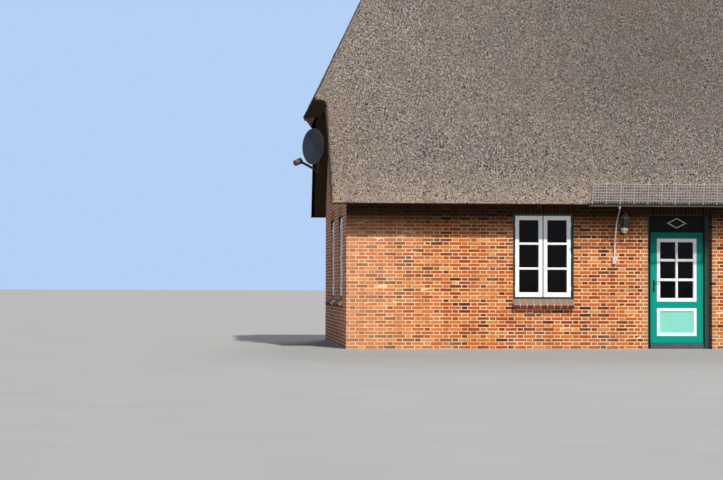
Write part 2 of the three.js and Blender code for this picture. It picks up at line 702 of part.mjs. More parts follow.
function doorway() {
  const group = new THREE.Group();
  group.position.set(0, -HALF_D, 0);
  const sillX = LEAF_W / 2 + DOOR_CLEAR - GAP;
  const threshold = box(-sillX, sillX, FRAME_Y - THRESHOLD_PROUD, BACK_Y, 0, LEAF_LOW_Z - DOOR_CLEAR);
  group.add(
    mesh('door_frame', doorFrame(), DARK_GREEN),
    mesh('door_threshold', threshold, BOARD_GREY),
    mesh('transom_panel', transomPanel(), DARK_GREEN),
    mesh('door_leaf', doorLeaf(), TEAL),
    mesh('door_glass', doorGlass(), PANE),
    mesh('door_handle', doorHandle(), BRONZE),
  );
  return group;
}

const rodX = (index) => (index - (RODS - 1) / 2) * ROD_SPACING;
const strapsX = Array.from({ length: (RODS + 1) / 2 }, (_, index) => rodX(2 * index));

// Point of the house, as y and z in the guard's own frame
function inGuard(y, z) {
  const [out, up] = [y + GUARD_FRONT, z - GUARD_LOW_Z];
  const [cos, sin] = [Math.cos(GUARD_LEAN), Math.sin(GUARD_LEAN)];
  return [out * cos + up * sin, up * cos - out * sin];
}

// Two rails joined by straps, each with an arm that lies level under the thatch
function guardRails() {
  const half = RAIL_L / 2;
  const seat = EAVE_Z - GAP;
  const armFront = -GUARD_FRONT - (seat - GUARD_LOW_Z) * Math.tan(GUARD_LEAN) + RAIL / 2;
  const arm = outline([[armFront, seat - RAIL], [-ARM_BACK, seat - RAIL], [-ARM_BACK, seat], [armFront, seat]]
    .map(([y, z]) => inGuard(y, z)));
  const rails = [LOWER_RAIL, UPPER_RAIL].map((heights) => box(-half, half, 0, RAIL, ...heights));
  const straps = strapsX.flatMap((x) => {
    const [x0, x1] = [x - STRAP_W / 2, x + STRAP_W / 2];
    return [box(x0, x1, 0, RAIL, LOWER_RAIL[0], UPPER_RAIL[1]), solid(alongX(arm, x0, x1))];
  });
  return mesh('guard_rails', joined([...rails, ...straps]), ZINC);
}

// Flat rods in front of the upper rail, cross wires over them, and clips that rest on the rail
function wireGuard() {
  const [front, back] = [-GAP - ROD, -GAP];
  const seat = UPPER_RAIL[1] + GAP;
  const lap = 1;
  const bodies = [];
  for (let index = 0; index < RODS; index += 1) {
    const x = rodX(index);
    bodies.push(box(x - ROD_W / 2, x + ROD_W / 2, front, back, ROD_FOOT, GUARD_LONG));
  }
  for (const x of strapsX) {
    bodies.push(box(x - STRAP_W / 2, x + STRAP_W / 2, back - lap, RAIL, seat, seat + CLIP));
  }
  const reach = rodX(RODS - 1) + ROD_W / 2;
  for (const height of WIRE_HEIGHTS) {
    bodies.push(box(-reach, reach, front + lap - WIRE, front + lap, height - WIRE / 2, height + WIRE / 2));
  }
  return mesh('wire_guard', joined(bodies), GALVANISED);
}

function guard() {
  const group = new THREE.Group();
  group.position.set(0, -GUARD_FRONT, GUARD_LOW_Z);
  group.rotation.x = GUARD_LEAN;
  group.add(guardRails(), wireGuard());
  return group;
}

function conduit() {
  const points = CONDUIT_ROUTE.map(([y, z]) => at(CONDUIT_X, y, z));
  const sides = 8;
  const section = new THREE.Shape();
  for (let index = 0; index < sides; index += 1) {
    const angle = 2 * Math.PI * index / sides;
    const point = [CONDUIT_R * Math.cos(angle), CONDUIT_R * Math.sin(angle)];
    if (index === 0) section.moveTo(...point);
    else section.lineTo(...point);
  }
  const tube = new THREE.ExtrudeGeometry(section, {
    steps: CONDUIT_STEPS, bevelEnabled: false, extrudePath: new THREE.CatmullRomCurve3(points),
  });
  return mesh('cable_conduit', solid(tube)
    .subtract(beyond(at(0, 0, EAVE_Z - GAP), at(0, 0, 1)))
    .subtract(beyond(at(0, 0, BOX_TOP_Z + GAP), at(0, 0, -1))), PLASTIC);
}

function junctionBox() {
  const y = -HALF_D - GAP;
  return mesh('junction_box', box(CONDUIT_X - BOX_W / 2, CONDUIT_X + BOX_W / 2, y - BOX_DEEP, y,
    BOX_LOW_Z, BOX_TOP_Z), PLASTIC);
}

// Six-sided lantern on a short arm: base, posts and cap in one, with a glass sleeve between them
function lantern() {
  const sixSided = (profile) => solid(turned(profile, LANTERN_SIDES).rotateZ(LANTERN_TURN));
  const bodies = [LANTERN_BASE, LANTERN_CAP].map(sixSided);
  for (let index = 0; index < LANTERN_SIDES; index += 1) {
    const angle = 2 * Math.PI * index / LANTERN_SIDES;
    const post = boxGeometry(LANTERN_POST_R - LANTERN_POST / 2, LANTERN_POST_R + LANTERN_POST / 2,
      -LANTERN_POST / 2, LANTERN_POST / 2, LANTERN_BASE_TOP - 1, LANTERN_CAP_LOW + 1);
    bodies.push(solid(post.rotateZ(angle)));
  }
  const wall = LANTERN_OUT - GAP;
  const plate = wall - LANTERN_PLATE;
  bodies.push(box(-LANTERN_ARM_W / 2, LANTERN_ARM_W / 2, 0, plate + 1, ...LANTERN_ARM_Z));
  bodies.push(box(-LANTERN_PLATE_W / 2, LANTERN_PLATE_W / 2, plate, wall, ...LANTERN_PLATE_Z));
  const [inside, outside] = [LANTERN_GLASS_R - LANTERN_GLASS, LANTERN_GLASS_R];
  const [low, top] = [LANTERN_BASE_TOP + GAP, LANTERN_CAP_LOW - GAP];
  const sleeve = sixSided([[inside, low], [outside, low], [outside, top], [inside, top], [inside, low]]);
  const group = new THREE.Group();
  group.position.set(LANTERN_X, -HALF_D - LANTERN_OUT, LANTERN_Z);
  group.rotation.y = LANTERN_LEAN;
  group.add(mesh('wall_lantern', joined(bodies), VERDIGRIS), mesh('lantern_glass', sleeve, PANE));
  return group;
}

// Satellite dish facing -y of its own frame, with a boss that meets the mast behind it

const MAST_Y = DISH_BOWL + DISH_SHEET + DISH_BOSS + MAST_R + GAP;

function dishReflector() {
  const rings = 5;
  const bowl = (radius) => DISH_BOWL * (1 - (radius / DISH_R) ** 2);
  const inner = [];
  const outer = [];
  for (let ring = 0; ring <= rings; ring += 1) {
    const radius = DISH_R * ring / rings;
    inner.push([radius, -bowl(radius)]);
    outer.unshift([radius, -bowl(radius) - DISH_SHEET]);
  }
  const shell = turned([...inner, ...outer], 24).rotateX(Math.PI / 2);
  const end = DISH_BOWL + DISH_SHEET + DISH_BOSS;
  const boss = cylinder(DISH_BOSS_R, -end, -DISH_BOWL - 1).rotateX(Math.PI / 2);
  return solid(shell).add(solid(boss));
}

// Arm from the mast's foot under the rim to the feed, which points up at the bowl
function dishFeed() {
  const aim = at(0, Math.cos(FEED_TILT), Math.sin(FEED_TILT));
  const turn = new THREE.Quaternion().setFromUnitVectors(at(0, 0, 1), aim);
  const feed = cylinder(FEED_R, -FEED_LENGTH / 2, FEED_LENGTH / 2).applyQuaternion(turn)
    .translate(0, FEED_Y, FEED_Z);
  const foot = at(0, MAST_Y, FEED_ARM_LOW);
  const reach = at(0, ...FEED_ARM_END).sub(foot);
  const half = FEED_ARM / 2;
  const arm = boxGeometry(-half, half, -half, half, 0, reach.length())
    .applyQuaternion(new THREE.Quaternion().setFromUnitVectors(at(0, 0, 1), reach.normalize()))
    .translate(foot.x, foot.y, foot.z);
  return solid(arm)
    .intersect(beyond(at(0, MAST_Y - MAST_R - GAP, 0), at(0, -1, 0)))
    .add(solid(feed));
}

// Mast, wall arm and wall plate, in the house's frame
function dishBracket() {
  const mastX = DISH_X - MAST_Y * Math.sin(DISH_TURN);
  const mastY = DISH_Y + MAST_Y * Math.cos(DISH_TURN);
  const wallX = -HALF_L - GAP;
  const z = DISH_Z + BRACKET_Z;
  const half = BRACKET_PLATE / 2;
  const mast = cylinder(MAST_R, DISH_Z + MAST_LOW, DISH_Z + MAST_TOP, mastX, mastY, 24);
  const arm = cylinder(BRACKET_R, mastX, wallX - 1).rotateY(Math.PI / 2).translate(0, mastY, z);
  const plate = box(wallX - BRACKET_PLATE_THICK, wallX, mastY - half, mastY + half, z - half, z + half);
  return joined([solid(mast), solid(arm), plate]);
}

function dish() {
  const group = new THREE.Group();
  group.position.set(DISH_X, DISH_Y, DISH_Z);
  group.rotation.z = DISH_TURN;
  group.add(mesh('dish_reflector', dishReflector(), DISH_GREY), mesh('dish_feed', dishFeed(), STEEL));
  return [group, mesh('dish_bracket', dishBracket(), STEEL)];
}

const cottage = new THREE.Group();
cottage.name = 'thatched_cottage';
cottage.add(
  ...walls(),
  ...floors(),
  ...roof(),
  chimney(),
  ...windows(),
  doorway(),
  guard(),
  conduit(),
  junctionBox(),
  lantern(),
  ...dish(),
);

export default cottage;
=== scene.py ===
"""Looks of a thatched brick cottage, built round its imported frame.

Metres, +Z up. The front faces -Y and the length runs along X. Windows, door, lantern and dish
are built in local frames with x to the right, y into the wall and z up.
"""
import itertools
import math

import bpy
import numpy as np
from mathutils import Matrix, Vector


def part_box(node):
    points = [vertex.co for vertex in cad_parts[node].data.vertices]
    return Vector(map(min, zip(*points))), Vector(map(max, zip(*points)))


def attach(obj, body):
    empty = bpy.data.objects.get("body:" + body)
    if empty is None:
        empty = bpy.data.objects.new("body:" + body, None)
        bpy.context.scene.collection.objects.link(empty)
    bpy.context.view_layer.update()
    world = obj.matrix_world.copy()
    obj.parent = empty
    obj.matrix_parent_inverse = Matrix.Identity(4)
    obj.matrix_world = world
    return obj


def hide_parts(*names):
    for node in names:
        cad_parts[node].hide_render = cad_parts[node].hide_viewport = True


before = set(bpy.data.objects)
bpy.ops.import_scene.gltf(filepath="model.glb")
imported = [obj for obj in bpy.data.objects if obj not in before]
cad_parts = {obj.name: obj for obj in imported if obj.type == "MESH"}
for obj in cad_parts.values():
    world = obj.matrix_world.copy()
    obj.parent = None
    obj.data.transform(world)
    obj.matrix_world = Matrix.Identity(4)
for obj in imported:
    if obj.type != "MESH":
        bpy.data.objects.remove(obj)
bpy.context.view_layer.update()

# Walls and roof, as the frame has them
COURSE = 1 / 15
WALL = 0.36
gable_low, gable_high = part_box("right_gable_wall")
HALF_L = gable_low.x + WALL
HALF_D = gable_high.y
thatch_low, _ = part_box("front_thatch")
hip_low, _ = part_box("left_hip_thatch")
EAVE_Y, EAVE_Z = -thatch_low.y, thatch_low.z
PITCH = math.radians(54.5)
HIP_PITCH = math.radians(64.5)
THATCH = 0.33
RIDGE_Z = EAVE_Z + EAVE_Y * math.tan(PITCH)
HIP_EAVE_X, HIP_EAVE_Z = -hip_low.x, hip_low.z
HIP_EAVE_Y = EAVE_Y - (HIP_EAVE_Z - EAVE_Z) / math.tan(PITCH)
RIDGE_END_X = HIP_EAVE_X - (RIDGE_Z - HIP_EAVE_Z) / math.tan(HIP_PITCH)
VERGE_OUT_LOW = 0.30
VERGE_OUT_HIGH = 0.33
VERGE_CORNER = 0.15

# Openings in the walls: half width, heights, and the courses of upright bricks over them
WINDOW_HALF = 0.575
WINDOW_Z = 14 * COURSE
WINDOW_H = 24 * COURSE
DOOR_HALF = 0.615
DOOR_TOP = 38 * COURSE
SOLDIER_COURSES = 3
SILL_COURSES = 2
WINDOW_REVEAL = 0.039
DOOR_REVEAL = 0.229

# Turn about Z of each wall's local frame
FRONT, REAR, LEFT, RIGHT = 0.0, math.pi, -math.pi / 2, math.pi / 2

WINDOWS = {
    "front_left_window": FRONT, "front_right_window": FRONT,
    "rear_left_window": REAR, "rear_right_window": REAR,
    "left_gable_front_window": LEFT, "left_gable_rear_window": LEFT,
    "right_gable_front_window": RIGHT, "right_gable_rear_window": RIGHT,
}


# Shader maths

def paint_colour(red, green, blue):
    """Linear colour from the 0 to 255 values of a paint chart."""
    def linear(part):
        part /= 255
        return part / 12.92 if part <= 0.04045 else ((part + 0.055) / 1.055) ** 2.4
    return (linear(red), linear(green), linear(blue), 1.0)


class Value:
    """A socket of a finish. Maths on it adds Math nodes to that finish."""

    def __init__(self, finish, socket):
        self.finish = finish
        self.socket = socket

    def _maths(self, operation, first, second=0.0):
        return self.finish.node("ShaderNodeMath", {"operation": operation}, {0: first, 1: second})

    def __add__(self, other):
        return self._maths("ADD", self, other)

    def __sub__(self, other):
        return self._maths("SUBTRACT", self, other)

    def __rsub__(self, other):
        return self._maths("SUBTRACT", other, self)

    def __mul__(self, other):
        return self._maths("MULTIPLY", self, other)

    def __truediv__(self, other):
        return self._maths("DIVIDE", self, other)

    def __rtruediv__(self, other):
        return self._maths("DIVIDE", other, self)

    __radd__ = __add__
    __rmul__ = __mul__

    def __abs__(self):
        return self._maths("ABSOLUTE", self)

    def above(self, low, high):
        """0 up to low, 1 from high on, and even between them."""
        share = (self - low) / (high - low)
        return self.finish.node("ShaderNodeClamp", {}, {0: share})


class Finish:
    """A material while it is mixed."""

    def __init__(self, name):
        self.material = bpy.data.materials.new(name)
        self.material.use_nodes = True
        self.tree = self.material.node_tree
        self.tree.nodes.clear()

    def node(self, kind, settings=None, sockets=None, output=0):
        """A node with its settings, and its sockets as values or links."""
        made = self.tree.nodes.new(kind)
        for setting, value in (settings or {}).items():
            if setting == "stops":
                self._set_stops(made.color_ramp, value)
            else:
                setattr(made, setting, value)
        for socket, value in (sockets or {}).items():
            if isinstance(value, Value):
                self.tree.links.new(value.socket, made.inputs[socket])
            else:
                made.inputs[socket].default_value = value
        return Value(self, made.outputs[output])

    @staticmethod
    def _set_stops(ramp, stops):
        while len(ramp.elements) < len(stops):
            ramp.elements.new(1.0)
        for element, (position, colour) in zip(ramp.elements, stops):
            element.position = position
            element.color = paint_colour(*colour)

    def position(self, stretch=(1, 1, 1)):
        where = self.node("ShaderNodeTexCoord", output="Object")
        return self.node("ShaderNodeVectorMath", {"operation": "MULTIPLY"}, {0: where, 1: stretch})

    def part_of(self, vector, axis):
        """One axis of a vector, as a number."""
        return self.node("ShaderNodeSeparateXYZ", {}, {0: vector}, output=axis)

    def height(self):
        return self.part_of(self.position(), "Z")

    def from_middle(self):
        """Distance to either side of the middle of the house."""
        return abs(self.part_of(self.position(), "X"))

    def facing(self, axis):
        """1 where a surface faces along an axis of the house, 0 across it, -1 against it."""
        return self.part_of(self.node("ShaderNodeNewGeometry", output="Normal"), axis)

    def strands(self, scale, lean):
        """Noise drawn out along a line that leans from upright, over the roof's own x and z."""
        where = self.node("ShaderNodeTexCoord", output="Object")
        drawn = self.node("ShaderNodeMapping", {"vector_type": "TEXTURE"}, {
            "Vector": where, "Rotation": (0, lean, 0), "Scale": (1, STRAND_LONG, STRAND_LONG)})
        return self.node("ShaderNodeTexNoise", {}, {
            "Vector": drawn, "Scale": scale, "Detail": 4.0, "Roughness": 0.6})

    def noise(self, scale, detail=3.0, roughness=0.55, stretch=(1, 1, 1)):
        return self.node("ShaderNodeTexNoise", {}, {
            "Vector": self.position(stretch), "Scale": scale, "Detail": detail, "Roughness": roughness})

    def attribute(self, name):
        return self.node("ShaderNodeAttribute", {"attribute_name": name}, output="Fac")

    def ramp(self, value, stops):
        return self.node("ShaderNodeValToRGB", {"stops": stops}, {0: value})

    def blend(self, share, first, second):
        """The second colour over the first. Each is a socket or three numbers of the paint chart."""
        first, second = [colour if isinstance(colour, Value) else paint_colour(*colour)
                         for colour in (first, second)]
        sockets = {0: share, 6: first, 7: second}
        return self.node("ShaderNodeMix", {"data_type": "RGBA"}, sockets, output=2)

    def coats(self, body, *layers):
        """Colours laid over a body one after the other, each with its share."""
        for share, colour in layers:
            body = self.blend(share, body, colour)
        return body

    def bump(self, height, distance, strength=1.0):
        return self.node("ShaderNodeBump", {}, {
            "Height": height, "Distance": distance, "Strength": strength})

    def done(self, colour, roughness, **more):
        sockets = {"Base Color": colour, "Roughness": roughness}
        sockets.update({name.replace("_", " "): value for name, value in more.items()})
        shader = self.node("ShaderNodeBsdfPrincipled", {}, sockets)
        end = self.tree.nodes.new("ShaderNodeOutputMaterial")
        self.tree.links.new(shader.socket, end.inputs["Surface"])
        return self.material


# Finishes

# Heights of painted shade on a wall: a painted shadow step at the edge of the eave's shadow, then painted
# shade of the eave, with some soot, deepening from one height to the next
SHADOW_STEP_FROM, SHADOW_STEP_FULL = 2.09, 2.17
EAVE_SHADE_FROM, EAVE_SHADE_FULL = EAVE_Z - 0.52, EAVE_Z - 0.17
SHADE_AND_SOOT = (24, 14, 8)
# Tone of a brick with lime smeared over it. Bare bricks have tones from 0 to 1.
LIME_WASHED = 2.0
# How far to the sides and how high the reed behind the wire guard gets painted shadow of the guard
GUARD_SHADE_X, GUARD_SHADE_Z = 1.76, EAVE_Z + 0.34
REED_LEAN = 0.62
STRAND_LONG = 2.6
BOARD_W = 0.14


def eave_shade_and_soot(f, body, flat, shade_reveals):
    """Painted shade, with some soot, under an eave, and a painted shadow step at the edge of the eave's
    shadow. For walls with openings, the reveals get painted shade and the shade reaches every face.
    """
    if shade_reveals:
        # Painted shade in the reveals of the openings and on other faces turned away from the front
        body = f.blend((1 - flat) * 0.75, body, (88, 44, 28))
    side = 1.0 if shade_reveals else flat
    # Painted shadow step at the eave's shadow edge, then painted shade of the eave with some soot
    return f.coats(body, (f.height().above(SHADOW_STEP_FROM, SHADOW_STEP_FULL) * side * 0.24, (56, 22, 14)),
                   (f.height().above(EAVE_SHADE_FROM, EAVE_SHADE_FULL) * side * 0.93, SHADE_AND_SOOT))


def brick_finish(name, shade_reveals):
    f = Finish(name)
    tone = f.attribute("tone")
    fired = f.ramp(tone, [
        (0.0, (58, 36, 36)), (0.13, (104, 50, 36)), (0.28, (150, 64, 29)), (0.45, (184, 85, 30)),
        (0.62, (200, 99, 35)), (0.78, (206, 116, 48)), (0.9, (214, 139, 72)), (1.0, (222, 166, 106))])
    flat = abs(f.facing("Y"))
    outside = flat.above(0.5, 0.8)
    smeared = tone.above(LIME_WASHED - 0.9, LIME_WASHED - 0.8) * outside
    lime = f.ramp(f.noise(9, 4, 0.65), [
        (0.35, (178, 114, 72)), (0.55, (198, 142, 98)), (0.7, (210, 166, 126))])
    grain = f.noise(55, 4, 0.7)
    washed = f.noise(1.3, 3, 0.6).above(0.52, 0.72) * 0.18 + f.from_middle().above(4.4, 6.3) * 0.34
    foot = (1 - f.height().above(0.0, 0.4)) * f.noise(2.6, 3, 0.6).above(0.35, 0.65) * 0.5
    middle = 1 - f.from_middle().above(1.2, 4.2)
    body = f.coats(fired, (smeared, lime), (grain.above(0.35, 0.75) * 0.38, (112, 56, 32)),
                   (washed, (232, 178, 138)), (foot, (168, 138, 112)), (middle * 0.14, (122, 60, 36)))
    # Painted shade of the eave, with some soot, and painted shade in the reveals
    body = eave_shade_and_soot(f, body, outside, shade_reveals)
    # Painted shade: faces turned away from the front, such as the gables, darker and more mauve
    body = f.blend((1 - flat.above(0.2, 0.6)) * 0.3, body, (84, 50, 52))
    height = f.noise(38, 5, 0.7) + f.noise(150, 2, 0.5) * 0.4
    return f.done(body, grain * 0.2 + 0.76, Specular_IOR_Level=0.12, Normal=f.bump(height, 0.004, 0.8))


def mortar_finish(name, shade_reveals):
    f = Finish(name)
    body = f.ramp(f.noise(3.2, 4, 0.6), [
        (0.3, (206, 166, 126)), (0.5, (234, 198, 154)), (0.7, (244, 212, 172))])
    grit = f.noise(140, 3, 0.7)
    body = f.blend(grit.above(0.55, 0.8) * 0.25, body, (160, 128, 100))
    # Painted shade of the eave, with some soot, and painted shade in the reveals
    body = eave_shade_and_soot(f, body, abs(f.facing("Y")).above(0.5, 0.8), shade_reveals)
    return f.done(body, 0.92, Specular_IOR_Level=0.12, Normal=f.bump(grit + f.noise(30, 3) * 2, 0.003, 0.7))


def sill_finish():
    f = Finish("sill_brick")
    body = f.ramp(f.attribute("tone"), [(0.0, (110, 50, 44)), (0.5, (138, 58, 46)), (1.0, (160, 84, 62))])
    lichen = f.facing("Z").above(0.3, 0.7) * (f.noise(18, 4, 0.7) * 0.5 + 0.6)
    body = f.blend(lichen, body, (132, 116, 102))
    return f.done(body, 0.85, Normal=f.bump(f.noise(45, 5, 0.7), 0.004, 0.8))


def reed_finish():
    f = Finish("weathered_reed")
    gaps = f.strands(60, REED_LEAN)
    tips = f.strands(56, -REED_LEAN)
    knots = f.noise(84, 4, 0.7)
    body = f.ramp(f.noise(0.7, 4, 0.6), [(0.3, (105, 97, 97)), (0.5, (115, 106, 99)), (0.7, (123, 110, 101))])
    young = (1 - f.height().above(EAVE_Z + 0.05, EAVE_Z + 0.7)) * 0.5
    body = f.coats(
        body, (young, (186, 162, 138)), (tips.above(0.52, 0.58) * 0.95, (192, 180, 164)),
        (knots.above(0.55, 0.62) * 0.75, (200, 191, 178)), (1 - gaps.above(0.41, 0.49), (32, 28, 26)),
        ((1 - knots.above(0.38, 0.44)) * 0.9, (28, 25, 23)))
    mossy = f.noise(2.3, 4, 0.6).above(0.5, 0.66) * 0.3
    mauve = f.noise(2.9, 4, 0.6, (1, 1, 0.8)).above(0.5, 0.66) * 0.3
    old = (1 - f.from_middle().above(0.6, 5.4)) * f.height().above(EAVE_Z + 0.2, EAVE_Z + 2.6) * 0.42
    rusty = f.from_middle().above(5.9, 6.7) * f.noise(16, 3, 0.7).above(0.5, 0.62) * 0.5
    # Painted shadow of the wire guard on the reed behind it
    guard_painted_shadow = 1 - f.from_middle().above(GUARD_SHADE_X, GUARD_SHADE_X + 0.06)
    guard_painted_shadow *= 1 - f.height().above(GUARD_SHADE_Z, GUARD_SHADE_Z + 0.08)
    front = 1 - f.facing("Y").above(-0.3, 0.1)
    # Painted shade on the cut ends of the reed at the verges
    cut = abs(f.facing("X")).above(0.7, 0.9) * (1 - f.facing("Z").above(0.15, 0.35))
    # Underside darker: painted shade, and the darker old reed inside
    under = 1 - f.facing("Z").above(-0.4, -0.1)
    body = f.coats(
        body, (mossy, (104, 98, 74)), (mauve, (124, 106, 112)), (old, (66, 62, 62)), (rusty, (150, 112, 72)),
        (guard_painted_shadow * front * 0.5, (72, 63, 60)), (cut * 0.35, (58, 44, 32)), (under, (64, 52, 36)))
    ends = f.noise(95, 3, 0.8, (1, 1, 0.5))
    return f.done(body, 0.95, Specular_IOR_Level=0.1, Normal=f.bump(ends + gaps * 2.0, 0.012, 0.9))


def heather_finish():
    f = Finish("heather")
    sprigs = f.noise(34, 4, 0.8, (0.5, 1, 1))
    body = f.ramp(sprigs, [
        (0.3, (50, 41, 36)), (0.5, (98, 82, 68)), (0.72, (150, 130, 108))])
    mossy = f.noise(1.6, 3).above(0.52, 0.7) * 0.35
    body = f.blend(mossy, body, (84, 88, 58))
    return f.done(body, 0.95, Specular_IOR_Level=0.1, Normal=f.bump(sprigs + f.noise(110, 2, 0.7), 0.02, 0.9))


def painted(name, colour, dirt, roughness, grain, wear, gloss=0.3, shade_under_eave=None):
    """Brushed paint: grain runs up and down, dirt gathers in patches, and painted shade of an eave falls from
    one height to another.
    """
    f = Finish(name)
    brush = f.noise(26, 4, 0.6, (6, 6, 0.5))
    patch = f.noise(5, 4, 0.65)
    body = f.blend(patch.above(0.5, 0.75) * wear, colour, dirt)
    body = f.blend(brush.above(0.55, 0.8) * wear * 0.6, body, dirt)
    # Painted shade of the eave over the part, from one height to another
    if shade_under_eave:
        low, high, share, shade_colour = shade_under_eave
        body = f.blend(f.height().above(low, high) * share, body, shade_colour)
    rough = patch * 0.18 + (roughness - 0.09)
    return f.done(body, rough, Specular_IOR_Level=gloss, Normal=f.bump(brush, 0.0012, grain))


def glass_finish(name, colour, roughness=0.04, gloss=0.4):
    f = Finish(name)
    dust = f.noise(9, 4, 0.6).above(0.58, 0.9)
    body = f.blend(dust * 0.12, colour, (60, 64, 66))
    ripple = f.noise(3.5, 2, 0.4)
    return f.done(body, dust * 0.08 + roughness, Specular_IOR_Level=gloss, Normal=f.bump(ripple, 0.004, 0.25))


def metal_finish(name, colour, stain, roughness, metallic, scale=22.0):
    f = Finish(name)
    patch = f.noise(scale, 5, 0.7)
    body = f.blend(patch.above(0.45, 0.68) * 0.6, colour, stain)
    rough = patch * 0.3 + (roughness - 0.12)
    return f.done(body, rough, Metallic=metallic, Normal=f.bump(patch, 0.001, 0.5))


def boards_finish():
    f = Finish("pine_boards")
    grain = f.noise(9, 4, 0.6, (0.5, 8, 8))
    body = f.ramp(grain, [(0.3, (122, 90, 56)), (0.7, (176, 142, 98))])
    board = f.part_of(f.position((1, 1 / BOARD_W, 1)), "Y")
    share = f.node("ShaderNodeMath", {"operation": "FRACT"}, {0: board})
    seam = 1 - share.above(0.0, 0.05)
    return f.done(f.blend(seam * 0.8, body, (40, 28, 18)), 0.7, Normal=f.bump(grain - seam, 0.002))


def slab_finish():
    f = Finish("ground_floor_slab")
    cloud = f.noise(4, 5, 0.65)
    body = f.ramp(cloud, [(0.35, (112, 108, 102)), (0.65, (156, 152, 144))])
    return f.done(body, 0.9, Normal=f.bump(f.noise(90, 3, 0.7), 0.002))


BRICK = brick_finish("fired_brick", False)
EAVE_BRICK = brick_finish("fired_brick_under_eaves", True)
MORTAR = mortar_finish("lime_mortar", False)
EAVE_MORTAR = mortar_finish("lime_mortar_under_eaves", True)
REED = reed_finish()
HEATHER = heather_finish()
WHITE = painted("white_gloss_paint", (242, 244, 248), (212, 212, 208), 0.38, 0.4, 0.2)
POST_GREEN = painted("grey_green_paint", (44, 60, 52), (64, 78, 70), 0.5, 0.6, 0.5)
WINDOW_GREEN = painted("window_green_paint", (40, 62, 52), (70, 86, 78), 0.45, 0.6, 0.45)
# Lighter copy of the post paint for the right post: painted light, with painted shade of the eave at its top
RIGHT_POST_LIT_GREEN = painted("right_post_green_painted_light", (104, 136, 118), (120, 138, 126), 0.5, 0.6, 0.5,
                      shade_under_eave=(1.70, 2.10, 0.9, (36, 44, 40)))
BLUE_BLACK = painted("blue_black_paint", (5, 8, 10), (12, 15, 17), 0.5, 0.5, 0.3, 0.15)
# Teal paint with painted shade of the eave over the top of the door
TEAL = painted("teal_paint", (0, 150, 133), (0, 130, 114), 0.5, 0.4, 0.3, 0.08,
               shade_under_eave=(1.93, 2.10, 0.52, (10, 58, 50)))
MINT = painted("mint_paint", (132, 212, 194), (104, 190, 172), 0.45, 0.4, 0.3)
CREAM = painted("cream_paint", (178, 172, 150), (120, 116, 100), 0.5, 0.4, 0.4)
BOARD = painted("grey_board_paint", (74, 76, 86), (110, 108, 104), 0.6, 0.8, 0.6)
# Near-black with little sheen: painted shade of the dark room behind the glass
PANE = glass_finish("window_glass", (4, 4, 5), gloss=0.07)
LAMP_PANE = glass_finish("green_lantern_glass", (32, 44, 36), 0.12)
ZINC = metal_finish("aged_zinc", (38, 38, 36), (26, 26, 24), 0.6, 0.1)
BRIGHT_ZINC = metal_finish("bright_zinc", (80, 80, 76), (60, 60, 56), 0.55, 0.1)
WIRE = metal_finish("galvanised_wire", (184, 180, 180), (150, 145, 144), 0.55, 0.1)
BRIGHT_ROD = metal_finish("bright_rod", (214, 212, 210), (170, 166, 164), 0.5, 0.1)
# Conduit plastic with painted shade of the eave over its upper part
PLASTIC = painted("off_white_plastic", (236, 222, 212), (206, 192, 180), 0.5, 0.1, 0.4,
                  shade_under_eave=(2.20, 2.46, 0.8, (112, 102, 94)))
BOX_GREY = painted("box_plastic", (208, 190, 184), (186, 164, 156), 0.5, 0.1, 0.5)
SOCKET_WHITE = painted("socket_plastic", (240, 238, 232), (216, 210, 200), 0.5, 0.1, 0.3)
VERDIGRIS = metal_finish("verdigris", (108, 116, 98), (62, 66, 54), 0.6, 0.1)
LAMP_CREAM = painted("lamp_base_enamel", (198, 190, 174), (164, 152, 132), 0.4, 0.2, 0.5)
DISH_GREY = metal_finish("slate_enamel", (45, 50, 51), (39, 43, 46), 0.5, 0.1, 6.0)
STEEL = metal_finish("dark_steel", (44, 46, 50), (70, 58, 48), 0.5, 0.6)
BRONZE = metal_finish("aged_bronze", (74, 56, 40), (40, 32, 26), 0.42, 0.9)
LEAD = metal_finish("lead_sheet", (96, 98, 102), (66, 66, 70), 0.6, 0.3)
FEED_BROWN = metal_finish("feed_plastic", (84, 72, 66), (60, 52, 48), 0.5, 0.0)
SILL_BRICKS = sill_finish()


# Mesh parts: a part is an array of points and a list of faces

# A direction that no bar of the house runs along
UNUSED_WAY = (0.31, 0.52, 0.79)
# Edges that turn by more than this are softened
SHARP = math.radians(40)


def lattice(xs, zs, gaps, front, back):
    """Flat frame in x and z, welded, with the cells in gaps left out."""
    columns, rows = len(xs), len(zs)
    points = [(x, y, z) for y in (front, back) for z in zs for x in xs]

    def corner(i, k, layer):
        return (layer * rows + k) * columns + i

    filled = {(i, k) for i in range(columns - 1) for k in range(rows - 1)} - set(gaps)
    faces = []
    for i, k in sorted(filled):
        near = [corner(i, k, 0), corner(i + 1, k, 0), corner(i + 1, k + 1, 0), corner(i, k + 1, 0)]
        far = [corner(i, k, 1), corner(i + 1, k, 1), corner(i + 1, k + 1, 1), corner(i, k + 1, 1)]
        faces += [near, far[::-1]]
        for side, beside in enumerate([(i, k - 1), (i + 1, k), (i, k + 1), (i - 1, k)]):
            if beside not in filled:
                after = (side + 1) % 4
                faces.append([near[side], far[side], far[after], near[after]])
    return np.array(points, float), faces


def block(x0, x1, y0, y1, z0, z1):
    return lattice([x0, x1], [z0, z1], [], y0, y1)


def ring_faces(rings, count):
    """Faces between rings of count points each, one ring after the other."""
    faces = []
    for low in range(0, (rings - 1) * count, count):
        high = low + count
        faces += [[low + j, low + (j + 1) % count, high + (j + 1) % count, high + j] for j in range(count)]
    return faces


def closed(rings, count):
    """Faces between rings, with a cap at either end."""
    last = (rings - 1) * count
    return ring_faces(rings, count) + [list(range(count))[::-1], list(range(last, last + count))]


def circle(sides):
    angles = 2 * math.pi * np.arange(sides) / sides
    return np.cos(angles), np.sin(angles)


